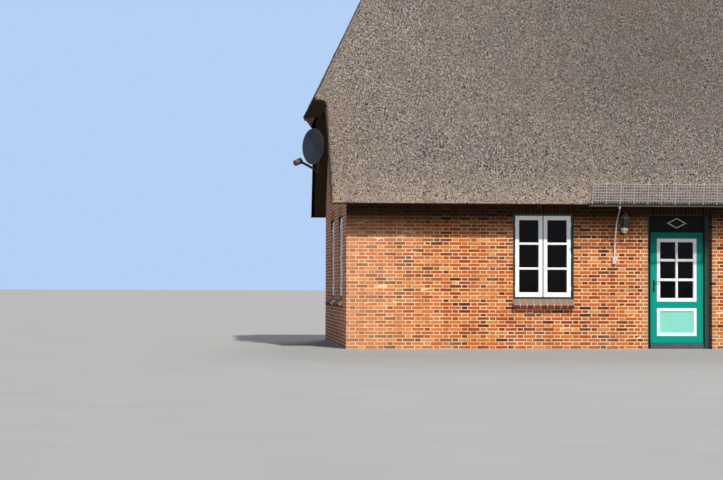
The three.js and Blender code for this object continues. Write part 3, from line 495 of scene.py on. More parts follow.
def rod(path, radius, sides=8):
    """Closed round bar along a path."""
    path = np.array(path, float)
    along = np.gradient(path, axis=0)
    along /= np.linalg.norm(along, axis=1)[:, None]
    across = np.cross(along[0], UNUSED_WAY)
    cos, sin = circle(sides)
    rings = []
    for point, direction in zip(path, along):
        across = across - direction * (across @ direction)
        across /= np.linalg.norm(across)
        other = np.cross(direction, across)
        rings.append(point + radius * (np.outer(cos, across) + np.outer(sin, other)))
    return np.concatenate(rings), closed(len(path), sides)


def turned(profile, sides):
    """Profile of radius and height turned about Z, closed at the axis by caps."""
    cos, sin = circle(sides)
    rings = [np.stack([r * cos, r * sin, np.full(sides, z)], 1) for r, z in profile]
    return np.concatenate(rings), closed(len(profile), sides)


def moved(part, place=(0, 0, 0), turn=0.0, matrix=None):
    points, faces = part
    if matrix is not None:
        points = points @ np.array(matrix.to_3x3()).T
    cos, sin = math.cos(turn), math.sin(turn)
    turned_points = np.stack([
        points[:, 0] * cos - points[:, 1] * sin, points[:, 0] * sin + points[:, 1] * cos, points[:, 2]], 1)
    return turned_points + np.array(place), faces


def joined(parts):
    points, faces, start = [], [], 0
    for part_points, part_faces in parts:
        points.append(part_points)
        faces += [[start + corner for corner in face] for face in part_faces]
        start += len(part_points)
    return np.concatenate(points), faces


def piece(name, parts, finish, body="house", replaces=(), edge=0.0, smooth=None, tones=None, turn=0.0):
    """One object of the scene, from parts in the row frame, or in a frame that is turned about Z."""
    points, faces = joined(parts)
    used = sorted({corner for face in faces for corner in face})
    if len(used) < len(points):
        renumber = np.zeros(len(points), int)
        renumber[used] = np.arange(len(used))
        faces = [[int(renumber[corner]) for corner in face] for face in faces]
        points = points[used]
    mesh = bpy.data.meshes.new(name)
    mesh.from_pydata(points.tolist(), [], faces)
    mesh.materials.append(finish)
    if tones is not None:
        mesh.attributes.new("tone", "FLOAT", "FACE").data.foreach_set("value", tones.astype(np.float32))
    if smooth is not None:
        mesh.shade_smooth()
        mesh.set_sharp_from_angle(angle=math.radians(smooth))
    made = bpy.data.objects.new(name, mesh)
    made.rotation_euler.z = turn
    bpy.context.scene.collection.objects.link(made)
    if edge:
        soft = made.modifiers.new("softened_edges", "BEVEL")
        soft.width = edge
        soft.segments = 2
        soft.limit_method = "ANGLE"
        soft.angle_limit = SHARP
    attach(made, body)
    if replaces:
        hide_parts(*replaces)


# Lumps and tufts, as smooth noise on a grid of seeded values

NOISE_TABLE = np.random.default_rng(7).uniform(-1, 1, 1 << 16)
NOISE_STEPS = (73856093, 19349663, 83492791)


def lumps(points, size, seed):
    """Smooth noise from -1 to 1 with lumps of that size, at each point."""
    cell = points / size + seed * 17.31
    low = np.floor(cell).astype(np.int64)
    part = cell - low
    part = part * part * (3 - 2 * part)
    total = np.zeros(len(points))
    for corner in itertools.product((0, 1), repeat=3):
        at = (low + corner) * NOISE_STEPS
        key = (at[:, 0] ^ at[:, 1] ^ at[:, 2]) & (len(NOISE_TABLE) - 1)
        total += np.prod(np.where(corner, part, 1 - part), axis=1) * NOISE_TABLE[key]
    return total


def roughness(points, layers):
    """Lumps on lumps, each layer given as its height, size and seed."""
    return sum(height * lumps(points, size, seed) for height, size, seed in layers)


# Brickwork

JOINT = 0.014
STRETCHER = 0.232
HEADER = 0.118
BOND = STRETCHER + HEADER
BRICK_PROUD = 0.003
BRICK_ARRIS, ARRIS_IN = 0.004, 0.8
SHORTEST_BAT = 0.05
REVEAL_PROUD = 0.0025
BURNT_SHARE = 0.08
CLOSER = 0.135
# How far the faces stand in or out, how far their corners are worn, and the tones of burnt and fired bricks
FACE_WANDER, CORNER_WEAR = 0.0009, 0.0011
BURNT_TONE, FIRED_TONES = 0.12, (2.4, 2.1)
# How far the gables' bricks go up into the thatch
INTO_THATCH = 0.05
# Depth of a brick of which only the face shows
FACE_ONLY = 0.001
rng = np.random.default_rng(11)


def brick_bodies(bricks, place, turn):
    """Bricks given as x0, x1, z0, z1 and how deep they reach into the wall."""
    x0, x1, z0, z1, deep = np.array(bricks, float).T
    count = len(bricks)
    proud = -BRICK_PROUD + rng.normal(0, FACE_WANDER, count)
    wear = rng.normal(0, CORNER_WEAR, (count, 4, 3))

    def ring(inset, y):
        xs = np.stack([x0 + inset, x1 - inset, x1 - inset, x0 + inset], 1)
        zs = np.stack([z0 + inset, z0 + inset, z1 - inset, z1 - inset], 1)
        return np.stack([xs, np.repeat(y[:, None], 4, 1), zs], 2)

    front = ring(BRICK_ARRIS, proud) + wear
    shoulder = ring(0, proud + BRICK_ARRIS * ARRIS_IN) + wear * (0.5, 0, 0.5)
    points = np.concatenate([ring(0, deep), shoulder, front], 1).reshape(-1, 3)
    shell = ring_faces(3, 4) + [[8, 9, 10, 11]]
    faces = (np.arange(count)[:, None, None] * 12 + np.array(shell)).reshape(-1, 4).tolist()
    burnt = rng.random(count) < BURNT_SHARE
    tones = np.where(burnt, rng.uniform(0, BURNT_TONE, count), rng.beta(*FIRED_TONES, count))
    tones = np.where(limed(bricks), LIME_WASHED, tones)
    return moved((points, faces), place, turn), np.repeat(tones, len(shell))


def limed(bricks):
    """Mortar smeared over the bricks beside the door, with one course in four left bare."""
    _, _, z0, z1, deep = np.array(bricks, float).T
    beside = (deep == DOOR_REVEAL) & (z1 < DOOR_TOP)
    return beside & (np.round(z0 / COURSE) % 4 != 2)


def course_of_bricks(course, low, high, start):
    """Stretchers and headers in turn, from low to high; a bat at either end is never tiny."""
    z0, z1 = course * COURSE + JOINT / 2, (course + 1) * COURSE - JOINT / 2
    first = start + (course % 2) * BOND / 2
    first += math.floor((low - first) / BOND) * BOND
    edges = [first + period * BOND + step for period in range(int((high - first) / BOND) + 2)
             for step in (0, STRETCHER)]
    row = []
    for left, right in zip(edges, edges[1:]):
        left, right = max(left + JOINT / 2, low), min(right - JOINT / 2, high)
        if right - left > SHORTEST_BAT:
            row.append([left, right, z0, z1, FACE_ONLY])
    if row:
        row[0][0], row[-1][1] = low, high
    return row


def split_ends(row):
    """A closer brick beside the door, cut from the brick that would reach it."""
    for index, inner in ((0, 1), (-1, 0)):
        end = row[index]
        if end[4] == DOOR_REVEAL and end[1] - end[0] > CLOSER + 2 * SHORTEST_BAT:
            cut = end[1 - inner] + (CLOSER if index == 0 else -CLOSER)
            rest = list(end)
            rest[4] = FACE_ONLY
            end[inner], rest[1 - inner] = (cut, cut + JOINT) if index == 0 else (cut, cut - JOINT)
            row = row[:1] + [rest] + row[1:] if index == 0 else row[:-1] + [rest] + row[-1:]
    return row


def wall_bricks(half, holes, top, start=0.0, half_at=None):
    """Bricks of one wall face. A hole is x0, x1, z0, z1, its reveal's depth and the courses over it."""
    bricks = []
    for course in range(math.ceil(top / COURSE)):
        middle = (course + 0.5) * COURSE
        reach = min(half, half_at(middle)) if half_at else half
        cuts = sorted(hole for hole in holes if hole[2] < middle < hole[3] + hole[5] * COURSE)
        low, low_deep = -reach, FACE_ONLY
        for x0, x1, z0, z1, deep, over in cuts + [(reach, reach, 0, 0, FACE_ONLY, 0)]:
            beside = z0 + (SILL_COURSES * COURSE if deep == WINDOW_REVEAL else 0) < middle < z1
            side = deep if beside else FACE_ONLY
            high = x0 + (REVEAL_PROUD if beside else 0)
            row = course_of_bricks(course, low, high, start) if high - low > SHORTEST_BAT else []
            if row:
                row[0][4], row[-1][4] = low_deep, side
                bricks += split_ends(row)
            low = x1 - (REVEAL_PROUD if beside else 0)
            low_deep = side
    for x0, x1, _, z1, deep, over in holes:
        count = round((x1 - x0) / COURSE)
        step = (x1 - x0) / count
        for index in range(count if over else 0):
            left = x0 + index * step
            bricks.append([left + JOINT / 2, left + step - JOINT / 2, z1 - REVEAL_PROUD,
                           z1 + over * COURSE - JOINT / 2, deep])
    return bricks


def window_hole(x):
    sill_low = WINDOW_Z - SILL_COURSES * COURSE
    return (x - WINDOW_HALF, x + WINDOW_HALF, sill_low, WINDOW_Z + WINDOW_H, WINDOW_REVEAL, SOLDIER_COURSES)


def window_place(name):
    low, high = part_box(name)
    middle = (low + high) / 2
    turn = WINDOWS[name]
    if turn in (FRONT, REAR):
        return (middle.x, -HALF_D if turn == FRONT else HALF_D, WINDOW_Z)
    return (-HALF_L if turn == LEFT else HALF_L, middle.y, WINDOW_Z)


def local_x(name):
    """Where a window is along its own wall, seen from outside."""
    x, y, _ = window_place(name)
    return {FRONT: x, REAR: -x, LEFT: -y, RIGHT: y}[WINDOWS[name]]


WALL_TOP = EAVE_Z + (EAVE_Y - HALF_D) * math.tan(PITCH) - THATCH / math.cos(PITCH)
GABLE_TOP = HIP_EAVE_Z + (HIP_EAVE_X - HALF_L) * math.tan(HIP_PITCH) - THATCH / math.cos(HIP_PITCH)


def gable_half(z):
    """Half width of a gable under the thatch at a height."""
    return EAVE_Y - (z - EAVE_Z + THATCH / math.cos(PITCH)) / math.tan(PITCH) + INTO_THATCH


def lay_walls():
    door = (-DOOR_HALF, DOOR_HALF, -COURSE, DOOR_TOP, DOOR_REVEAL, SOLDIER_COURSES)
    faces = {
        "front": (FRONT, (0, -HALF_D, 0), HALF_L + BRICK_PROUD, WALL_TOP, [door], None, -HALF_L),
        "rear": (REAR, (0, HALF_D, 0), HALF_L + BRICK_PROUD, WALL_TOP, [], None, -HALF_L),
        "left_gable": (LEFT, (-HALF_L, 0, 0), HALF_D, GABLE_TOP, [], gable_half, -STRETCHER / 2),
        "right_gable": (RIGHT, (HALF_L, 0, 0), HALF_D, GABLE_TOP, [], gable_half, -STRETCHER / 2),
    }
    for name, (turn, place, half, top, holes, half_at, start) in faces.items():
        windows = [window_hole(local_x(window)) for window in WINDOWS if WINDOWS[window] == turn]
        part, tones = brick_bodies(wall_bricks(half, holes + windows, top, start, half_at), place, turn)
        finish = EAVE_BRICK if half_at is None else BRICK
        piece(f"{name}_bricks", [part], finish, tones=tones)


SILL_SLOPE = math.radians(35)
SILL_BRICK = 0.071
SILL_RUN = 0.133
SILL_NOSE = 0.036
SILL_BACK = 0.040
SILL_TOP = -0.004
SILL_COUNT = 9
SILL_COVER = 0.003
SILL_IN = 0.012
SILL_TILT = 0.0012
SILL_TONES = (0.15, 0.75)


def lay_sills():
    """Sloping headers over each sill bed, with a joint between them."""
    step = 2 * WINDOW_HALF / SILL_COUNT
    bed_length = SILL_RUN / math.cos(SILL_SLOPE)
    length = bed_length + SILL_NOSE
    down = Matrix.Rotation(SILL_SLOPE, 4, "X")
    parts, tones, joints = [], [], []
    for name, turn in WINDOWS.items():
        nose = block(-WINDOW_HALF + JOINT, WINDOW_HALF - JOINT, SILL_COVER - length, -bed_length,
                     SILL_COVER - SILL_BRICK, -SILL_COVER)
        joints.append(moved(moved(nose, (0, SILL_BACK, SILL_TOP), 0.0, down), window_place(name), turn))
        for index in range(SILL_COUNT):
            x = -WINDOW_HALF + index * step
            tilt = rng.normal(0, SILL_TILT)
            brick = block(x + JOINT / 2, x + step - JOINT / 2, -length - SILL_COVER, SILL_IN,
                          -SILL_BRICK - SILL_COVER, SILL_COVER + tilt)
            sloped = moved(brick, (0, SILL_BACK, SILL_TOP), 0.0, down)
            parts.append(moved(sloped, window_place(name), turn))
            tones += [rng.uniform(*SILL_TONES)] * len(brick[1])
    piece("sill_bricks", parts, SILL_BRICKS, edge=0.006, tones=np.array(tones))
    piece("sill_joints", joints, MORTAR, edge=0.001)


lay_walls()
lay_sills()


# Thatch

REED_STEP = 0.036
EDGE_LAYERS = 8
VERGE_ROUND = 0.06
HIP_ROUND = 0.28
HIP_SUNK = 0.045
REED_SUNK = 0.022
# Columns of points by the verge, and rows by the eave where the reed ends turn down
NEAR_EDGE = (0.0, 0.012, 0.03)
FIRST_COLUMN = 0.055
TIP_UP = (0.018, 0.023, 0.036)
TIP_DROP = (-0.012, -0.004)
FIRST_ROW = 0.062
# The underside has one column and row for so many of the top
UNDER_STEP = 8
# Height, size and seed of the lumps of the reed's surface, its streaks and its ragged edges
SURFACE = ((0.010, 1.1, 1), (0.005, 0.21, 2))
STREAKS = ((0.0065, 0.075, 3), (0.005, 0.04, 4))
RAGGED = ((0.011, 0.05, 5), (0.008, 0.17, 6))
STREAK_SHARE = 0.55
RAG_SUNK, RAG_DROP = 0.014, 0.004
# How far up a slope the reed ends thicken, and the share of the lumps at its lowest row
TIP_LENGTH, TIP_SHARE = 0.1, 0.12
# Wider than any slope, where only the hips limit it
UNLIMITED = 99.0
MOST_FLARE = 0.25


def verge_half(v):
    """Half width of a long slope outside the hips, at a distance up the slope."""
    hip_v = (EAVE_Y - HIP_EAVE_Y) / math.cos(PITCH)
    share = np.clip(v / (hip_v - VERGE_CORNER), 0, 1)
    out = HALF_L + VERGE_OUT_LOW + share * (VERGE_OUT_HIGH - VERGE_OUT_LOW)
    rise = np.clip(v - (hip_v - VERGE_CORNER), 0, VERGE_CORNER)
    flare = VERGE_CORNER - np.sqrt(np.maximum(VERGE_CORNER ** 2 - rise ** 2, 0))
    return np.where(v > hip_v + 1e-6, UNLIMITED, out + np.minimum(flare, MOST_FLARE))


def slope_half(v, out):
    """Half width of a long slope, at a distance up it and out from the middle of the house."""
    hip = RIDGE_END_X + (HIP_EAVE_X - RIDGE_END_X) * np.abs(out) / HIP_EAVE_Y
    return np.minimum(verge_half(v), np.minimum(hip, HIP_EAVE_X))


def hip_half(_, out):
    """Half width of a hip, at a distance out from the middle of the house."""
    return HIP_EAVE_Y * np.clip((out - RIDGE_END_X) / (HIP_EAVE_X - RIDGE_END_X), 0.0005, 1)


def thatch_faces(number, loop, under_number):
    """Faces of the top, of the layers down its edge and of the underside, from their point numbers."""
    faces = np.stack([number[:-1, :-1], number[:-1, 1:], number[1:, 1:], number[1:, :-1]], -1)
    faces = faces.reshape(-1, 4).tolist()
    before, count, start = loop.tolist(), len(loop), number.size
    for _ in range(EDGE_LAYERS):
        ring = list(range(start, start + count))
        faces += [[before[(j + 1) % count], before[j], ring[j], ring[(j + 1) % count]] for j in range(count)]
        before = ring
        start += count
    grid = start + under_number
    quads = np.stack([grid[:-1, :-1], grid[1:, :-1], grid[1:, 1:], grid[:-1, 1:]], -1)
    return faces + quads.reshape(-1, 4).tolist()


def thatch_face(name, node, turn, seed, pitch, eave_out, eave_z, top_out, half_at, other_pitch):
    """Thick reed covering of one roof face: rough top, rounded edges and a plain underside."""
    sin, cos, tan = math.sin(pitch), math.cos(pitch), math.tan(pitch)
    rise = (eave_out - top_out) / cos
    rows = np.concatenate([TIP_UP, np.arange(FIRST_ROW, rise - 0.002, REED_STEP), [rise]])
    lift = np.zeros(len(rows))
    lift[:3] = (-TIP_UP[0] * tan, *TIP_DROP)
    widest = float(np.max(half_at(rows, eave_out - rows * cos)))
    columns = int(2 * widest / REED_STEP)
    near = np.array(NEAR_EDGE) / widest
    inside = np.linspace(-1 + FIRST_COLUMN / widest, 1 - FIRST_COLUMN / widest, columns)
    across = np.concatenate([-1 + near, inside, 1 - near[::-1]])

    def local(s, v, w):
        out = eave_out - v * cos + w * sin
        half = half_at(v, out)
        return np.stack([s * half, -out, eave_z + v * sin + w * cos], 1), half

    s, v = [grid.ravel() for grid in np.meshgrid(across, rows)]
    w = np.repeat(lift, len(across))
    top, half = local(s, v, w)
    edge = half - np.abs(top[:, 0])
    on_hip = top[:, 2] > HIP_EAVE_Z - 0.001
    inner = np.minimum(edge, VERGE_ROUND)
    rounded = VERGE_ROUND - np.sqrt(VERGE_ROUND ** 2 - (VERGE_ROUND - inner) ** 2)
    blend = np.where(on_hip, np.clip(1 - edge / HIP_ROUND, 0, 1) ** 2, 0)
    face = np.array([0, -sin, cos])
    corner = np.stack([np.sign(s) * math.sin(other_pitch), np.full_like(s, -sin),
                       np.full_like(s, cos + math.cos(other_pitch))], 1)
    corner /= np.linalg.norm(corner, axis=1)[:, None]
    out_of = face * (1 - blend)[:, None] + corner * blend[:, None]
    out_of /= np.linalg.norm(out_of, axis=1)[:, None]
    place = top + seed * 7.0
    streak = np.stack([top[:, 0] + seed, v * STREAK_SHARE, w], 1)
    rough = roughness(place, SURFACE) + (1 - blend) * roughness(streak, STREAKS)
    sunk = REED_SUNK + HIP_SUNK * blend + np.where(on_hip, 0, rounded)
    tip = np.clip((v - TIP_UP[0]) / TIP_LENGTH, TIP_SHARE, 1)
    top = top + out_of * ((rough - sunk) * tip)[:, None]

    number = np.arange(len(top)).reshape(len(rows), len(across))
    loop = np.concatenate([number[0], number[1:, -1], number[-1, -2::-1], number[-2:0:-1, 0]])
    share = (v[loop] - rows[0]) / (rise - rows[0])
    layers = [top]
    for layer in range(1, EDGE_LAYERS + 1):
        deep = -THATCH * layer / EDGE_LAYERS
        foot = max(-deep / tan, rows[0])
        head = (eave_out - top_out + deep * sin) / cos
        ring, _ = local(s[loop], foot + share * (head - foot), np.full(len(loop), deep))
        spot = ring + seed * 3.0
        fade = min(1.0, 2.0 * (1 - layer / EDGE_LAYERS))
        rag = roughness(spot, RAGGED) - RAG_SUNK
        on_verge = (np.abs(s[loop]) > 0.999) & (ring[:, 2] < HIP_EAVE_Z)
        ring[:, 0] += np.sign(s[loop]) * np.where(on_verge, rag * fade, 0)
        ring[:, 2] += np.where(share < 0.001, (RAG_DROP - rag) * fade, 0)
        layers.append(ring)
    under_across, under_up = across[::UNDER_STEP], np.linspace(0, 1, max(len(rows) // UNDER_STEP, 2))
    under_s, under_share = [grid.ravel() for grid in np.meshgrid(under_across, under_up)]
    foot, head = THATCH / tan, (eave_out - top_out - THATCH * sin) / cos
    under, _ = local(under_s, foot + under_share * (head - foot), np.full(len(under_s), -THATCH))
    layers.append(under)
    under_number = np.arange(len(under)).reshape(-1, len(under_across))
    faces = thatch_faces(number, loop, under_number)
    part = (np.concatenate(layers), faces)
    piece(name, [part], REED, replaces=[node], smooth=60, turn=turn)


def lay_thatch():
    slope = (PITCH, EAVE_Y, EAVE_Z, 0.0, slope_half, HIP_PITCH)
    hip = (HIP_PITCH, HIP_EAVE_X, HIP_EAVE_Z, RIDGE_END_X, hip_half, PITCH)
    thatch_face("front_reed", "front_thatch", FRONT, 0, *slope)
    thatch_face("rear_reed", "rear_thatch", REAR, 1, *slope)
    thatch_face("left_hip_reed", "left_hip_thatch", LEFT, 2, *hip)
    thatch_face("right_hip_reed", "right_hip_thatch", RIGHT, 3, *hip)


lay_thatch()

# Ridge cap: a saddle of heather with ragged lower edges

CAP_SIDE = 0.46
CAP_THICK = 0.13
CAP_RISE = 0.085
CAP_STEP = 0.045
CAP_SUNK = 0.026
CAP_LUMPS = ((0.012, 0.3, 8), (0.012, 0.07, 9))


def ridge_saddle(name):
    low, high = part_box(name)
    stations = np.linspace(low.x, high.x, int((high.x - low.x) / CAP_STEP))
    steps = np.linspace(-1, 1, 33)
    crown = np.abs(steps)
    down = CAP_SIDE * np.clip((crown - 0.12) / 0.88, 0, 1)
    thick = CAP_THICK * (1 - 0.45 * np.clip((crown - 0.8) / 0.2, 0, 1) ** 2)
    y = np.sign(steps) * (down * math.cos(PITCH) + thick * math.sin(PITCH) * np.clip(crown / 0.25, 0, 1))
    z = RIDGE_Z - down * math.sin(PITCH) + thick * math.cos(PITCH) + CAP_RISE * np.clip(1 - crown / 0.3, 0, 1)
    inner_y = steps * CAP_SIDE * math.cos(PITCH)
    inner_z = RIDGE_Z + 0.003 - crown * CAP_SIDE * math.sin(PITCH)
    loop_y = np.concatenate([y, inner_y[::-1]])
    loop_z = np.concatenate([z, inner_z[::-1]])
    outer = np.concatenate([np.ones(len(y)), np.zeros(len(y))])
    x, ys = np.meshgrid(stations, loop_y, indexing="ij")
    zs = np.broadcast_to(loop_z, x.shape)
    points = np.stack([x.ravel(), ys.ravel(), zs.ravel()], 1)
    rough = roughness(points, CAP_LUMPS) - CAP_SUNK
    reach = np.tile(outer, len(stations)) * rough
    away = np.sign(points[:, [1]]) * (0, math.sin(PITCH), 0) + (0, 0, math.cos(PITCH))
    points += away * reach[:, None]
    count = len(loop_y)
    faces = [face[::-1] for face in ring_faces(len(stations), count)]
    for start, order in ((0, -1), ((len(stations) - 1) * count, 1)):
        for j in range(len(steps) - 1):
            face = [start + j, start + j + 1, start + count - 2 - j, start + count - 1 - j]
            faces.append(face[::order])
    piece(f"{name}_heather", [(points, faces)], HEATHER, replaces=[name], smooth=70)


ridge_saddle("ridge_cap_left")
ridge_saddle("ridge_cap_right")

# Chimney: bricks on the stack and its crown, mortar on top, lead at its foot

STACK_HALF = 0.32
CROWN_OUT = 0.045
CROWN_COURSES = 3
LEAD_OUT = 0.012
LEAD_SHEET = 0.006
LEAD_TALL = 0.16
STACK_SUNK = 0.6
STACK_BRICK_DEEP = 0.02
# The roof along a side of the stack, as x and height from the ridge
EAVE_SIDE_LEAD = [(-0.332, -0.47), (0.332, -0.47)]
RIDGE_SIDE_LEAD = [(-0.332, -0.28), (-0.18, -0.07), (0.0, 0.13), (0.18, -0.07), (0.332, -0.28)]


def lead_strip(line):
    """Upstand of lead that follows the roof along one side of the stack."""
    points = [(x, y, RIDGE_Z + z + lift) for y in (0, LEAD_SHEET) for lift in (0, LEAD_TALL) for x, z in line]
    count = len(line)
    front_low, front_high, back_low, back_high = [list(range(k * count, (k + 1) * count)) for k in range(4)]
    faces = []
    for k in range(count - 1):
        faces += [[front_low[k], front_low[k + 1], front_high[k + 1], front_high[k]],
                  [back_low[k + 1], back_low[k], back_high[k], back_high[k + 1]],
                  [front_high[k], front_high[k + 1], back_high[k + 1], back_high[k]],
                  [back_low[k], back_low[k + 1], front_low[k + 1], front_low[k]]]
    for k, flip in ((0, 1), (count - 1, -1)):
        faces.append([front_low[k], front_high[k], back_high[k], back_low[k]][::flip])
    return np.array(points, float), faces


def outwards(turn, distance):
    """A place at a distance from the middle, on the side that a wall's frame faces."""
    return tuple(Vector((math.sin(turn), -math.cos(turn), 0)) * distance)


def chimney_bricks():
    stack_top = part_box("chimney")[1].z
    crown_low = stack_top - (CROWN_COURSES + 1) * COURSE
    low = RIDGE_Z - STACK_SUNK
    count = math.ceil((stack_top - low) / COURSE)
    rows = []
    for course in range(count):
        height = stack_top - (count - course) * COURSE
        crown = crown_low - 0.001 < height < crown_low + (CROWN_COURSES - 0.5) * COURSE
        rows.append((height, STACK_HALF + (CROWN_OUT if crown else 0), course))
    parts, tones = [], []
    for turn in (FRONT, RIGHT, REAR, LEFT):
        for half in (STACK_HALF, STACK_HALF + CROWN_OUT):
            bricks = []
            for height, row_half, course in rows:
                if row_half != half:
                    continue
                wide = half + (BRICK_PROUD if turn in (FRONT, REAR) else 0)
                z0, z1 = height + JOINT / 2, height + COURSE - JOINT / 2
                for left, right, *_ in course_of_bricks(course, -wide, wide, -half):
                    bricks.append([left, right, z0, z1, STACK_BRICK_DEEP])
            part, part_tones = brick_bodies(bricks, outwards(turn, half), turn)
            parts.append(part)
            tones.append(part_tones)
    piece("chimney_bricks", parts, BRICK, tones=np.concatenate(tones))
    collars = []
    for turn in (FRONT, RIGHT, REAR, LEFT):
        line = EAVE_SIDE_LEAD if turn in (FRONT, REAR) else RIDGE_SIDE_LEAD
        collars.append(moved(lead_strip(line), outwards(turn, STACK_HALF + LEAD_OUT), turn))
    piece("chimney_lead_collar", collars, LEAD, edge=0.002)


chimney_bricks()

# Windows

CASEMENT_HALF = 0.526
CASEMENT_H = 1.522
STILE, OUTER_STILE, TOP_RAIL, BOTTOM_RAIL, BAR = 0.087, 0.078, 0.080, 0.087, 0.045
SEAM = 0.018
PUTTY = 0.007
SASH_FRONT, SASH_BACK = 0.035, 0.080
GLASS_Y = 0.060
PUTTY_DEEP = 0.002
PUTTY_IN = 0.010
PANE_THICK, PANE_LEAN = 0.004, 0.004
# The fixed frame laps over the casements, and its meeting post stands in the seam between them
FRAME_LAP = 0.005
FRAME_FRONT, FRAME_BACK = SASH_FRONT + 0.005, SASH_FRONT + 0.075
MEETING_IN, MEETING_LAP = 0.002, 0.0005
HINGE_INSET, HINGE_REACH, HINGE_R = 0.16, 0.035, 0.007
FIT = 0.0003


def putty(x0, x1, z0, z1, front, back, width):
    """Sloping fillet round one pane, from the bars' front edges to the glass."""
    outer = [(x0, front, z0), (x1, front, z0), (x1, front, z1), (x0, front, z1)]
    inner = [(x0 + width, back, z0 + width), (x1 - width, back, z0 + width),
             (x1 - width, back, z1 - width), (x0 + width, back, z1 - width)]
    behind = [(x, back + PUTTY_DEEP, z) for x, _, z in outer]
    return np.array(outer + inner + behind, float), ring_faces(3, 4) + [
        [8 + j, 8 + (j + 1) % 4, (j + 1) % 4, j] for j in range(4)]


def glass_sheet(x0, x1, y, z0, z1):
    """One pane, a little out of true as old glass is."""
    points, faces = block(x0, x1, y, y + PANE_THICK, z0, z1)
    lean = rng.normal(0, PANE_LEAN, 2)
    middle = ((x0 + x1) / 2, (z0 + z1) / 2)
    points[:, 1] += (points[:, 0] - middle[0]) * lean[0] + (points[:, 2] - middle[1]) * lean[1]
    return points, faces


def bar_edges(low, high, first, last, bar, panes):
    """Edges of a frame and the even bars in it, drawn back by the putty on the side of a pane."""
    pane = (high - low - first - last - (panes - 1) * bar) / panes
    edges = [low, low + first]
    for _ in range(panes - 1):
        edges += [edges[-1] + pane, edges[-1] + pane + bar]
    edges += [high - last, high]
    return [low] + [edge + (-PUTTY if at % 2 else PUTTY) for at, edge in enumerate(edges)][1:-1] + [high]


def casement_pair():
    low = (WINDOW_H - CASEMENT_H) / 2
    high = WINDOW_H - low
    sash_heights = bar_edges(low, high, BOTTOM_RAIL, TOP_RAIL, BAR, 3)
    sashes, fillets, panes, hinges = [], [], [], []
    for side in (-1, 1):
        edges = (SEAM / 2, STILE - PUTTY, CASEMENT_HALF - OUTER_STILE + PUTTY, CASEMENT_HALF)
        xs = sorted(side * x for x in edges)
        sashes.append(lattice(xs, sash_heights, [(1, 1), (1, 3), (1, 5)], SASH_FRONT, SASH_BACK))
        for row in (1, 3, 5):
            z0, z1 = sash_heights[row], sash_heights[row + 1]
            fillets.append(putty(xs[1], xs[2], z0, z1, SASH_FRONT + PUTTY_IN, GLASS_Y, PUTTY))
            panes.append(glass_sheet(xs[1], xs[2], GLASS_Y, z0, z1))
        for z in (low + HINGE_INSET, (low + high) / 2, high - HINGE_INSET):
            ends = [(side * CASEMENT_HALF, SASH_FRONT - 0.002, z + dz) for dz in (-HINGE_REACH, HINGE_REACH)]
            hinges.append(rod(ends, HINGE_R, 10))
    return sashes, fillets, panes, hinges


def hang_windows():
    outer = WINDOW_HALF - FIT
    inner = CASEMENT_HALF - FRAME_LAP
    low = (WINDOW_H - CASEMENT_H) / 2 + FRAME_LAP
    surround = lattice([-outer, -inner, inner, outer], [FIT, low, WINDOW_H - low, WINDOW_H - FIT], [(1, 1)],
                       FRAME_FRONT, FRAME_BACK)
    seam = SEAM / 2 + MEETING_LAP
    meeting = block(-seam, seam, SASH_FRONT + MEETING_IN, SASH_BACK - MEETING_IN, low, WINDOW_H - low)
    for name, turn in WINDOWS.items():
        place = window_place(name)
        sashes, fillets, panes, hinges = casement_pair()
        groups = ([surround, meeting], sashes, fillets + hinges, panes)
        fixed, sashes, fillets, panes = [[moved(part, place, turn) for part in group] for group in groups]
        piece(f"{name}_frame", fixed, WINDOW_GREEN, replaces=[name], edge=0.004)
        piece(f"{name}_casements", sashes, WHITE, edge=0.004)
        piece(f"{name}_putty", fillets, WHITE, smooth=40)
        piece(f"{name}_panes", panes, PANE, replaces=[f"{name}_glass"])


hang_windows()

# Door

DOOR_SET_BACK = 0.230
DOOR_FRAME_DEEP = 0.080
DOOR_BACK = DOOR_SET_BACK + DOOR_FRAME_DEEP
LEAF_HALF = 0.505
LEAF_FRONT = DOOR_BACK - 0.050
LEAF_LOW, LEAF_TOP = 0.104, 2.204
DOOR_CLEAR = 0.006
TRANSOM_BAR = 0.052
FRAME_HEAD = 0.040
HEAD_BOARD = 0.018
LINING_STEP = 0.014
INNER_POST = 0.026
LIGHT_HALF = 0.3815
LIGHT_LOW, LIGHT_TOP = 0.889, 2.086
LIGHT_STILE, LIGHT_RAIL, LIGHT_BAR = 0.068, 0.069, 0.053
LOWER_LOW, LOWER_TOP, LOWER_BORDER = 0.239, 0.765, 0.058
MOULDING_PROUD = 0.006
LEAF_LINING_BACK = DOOR_BACK - 0.001
THRESHOLD_PROUD = 0.015
DOOR_GLASS_Y, DOOR_PUTTY_Y = LEAF_FRONT + 0.022, LEAF_FRONT + 0.004
FIELD_FRONT, FIELD_BACK = LEAF_FRONT + 0.010, DOOR_BACK - 0.008
DOOR_PLACE = (0, -HALF_D, 0)


def at_door(parts):
    return [moved(part, DOOR_PLACE) for part in parts]


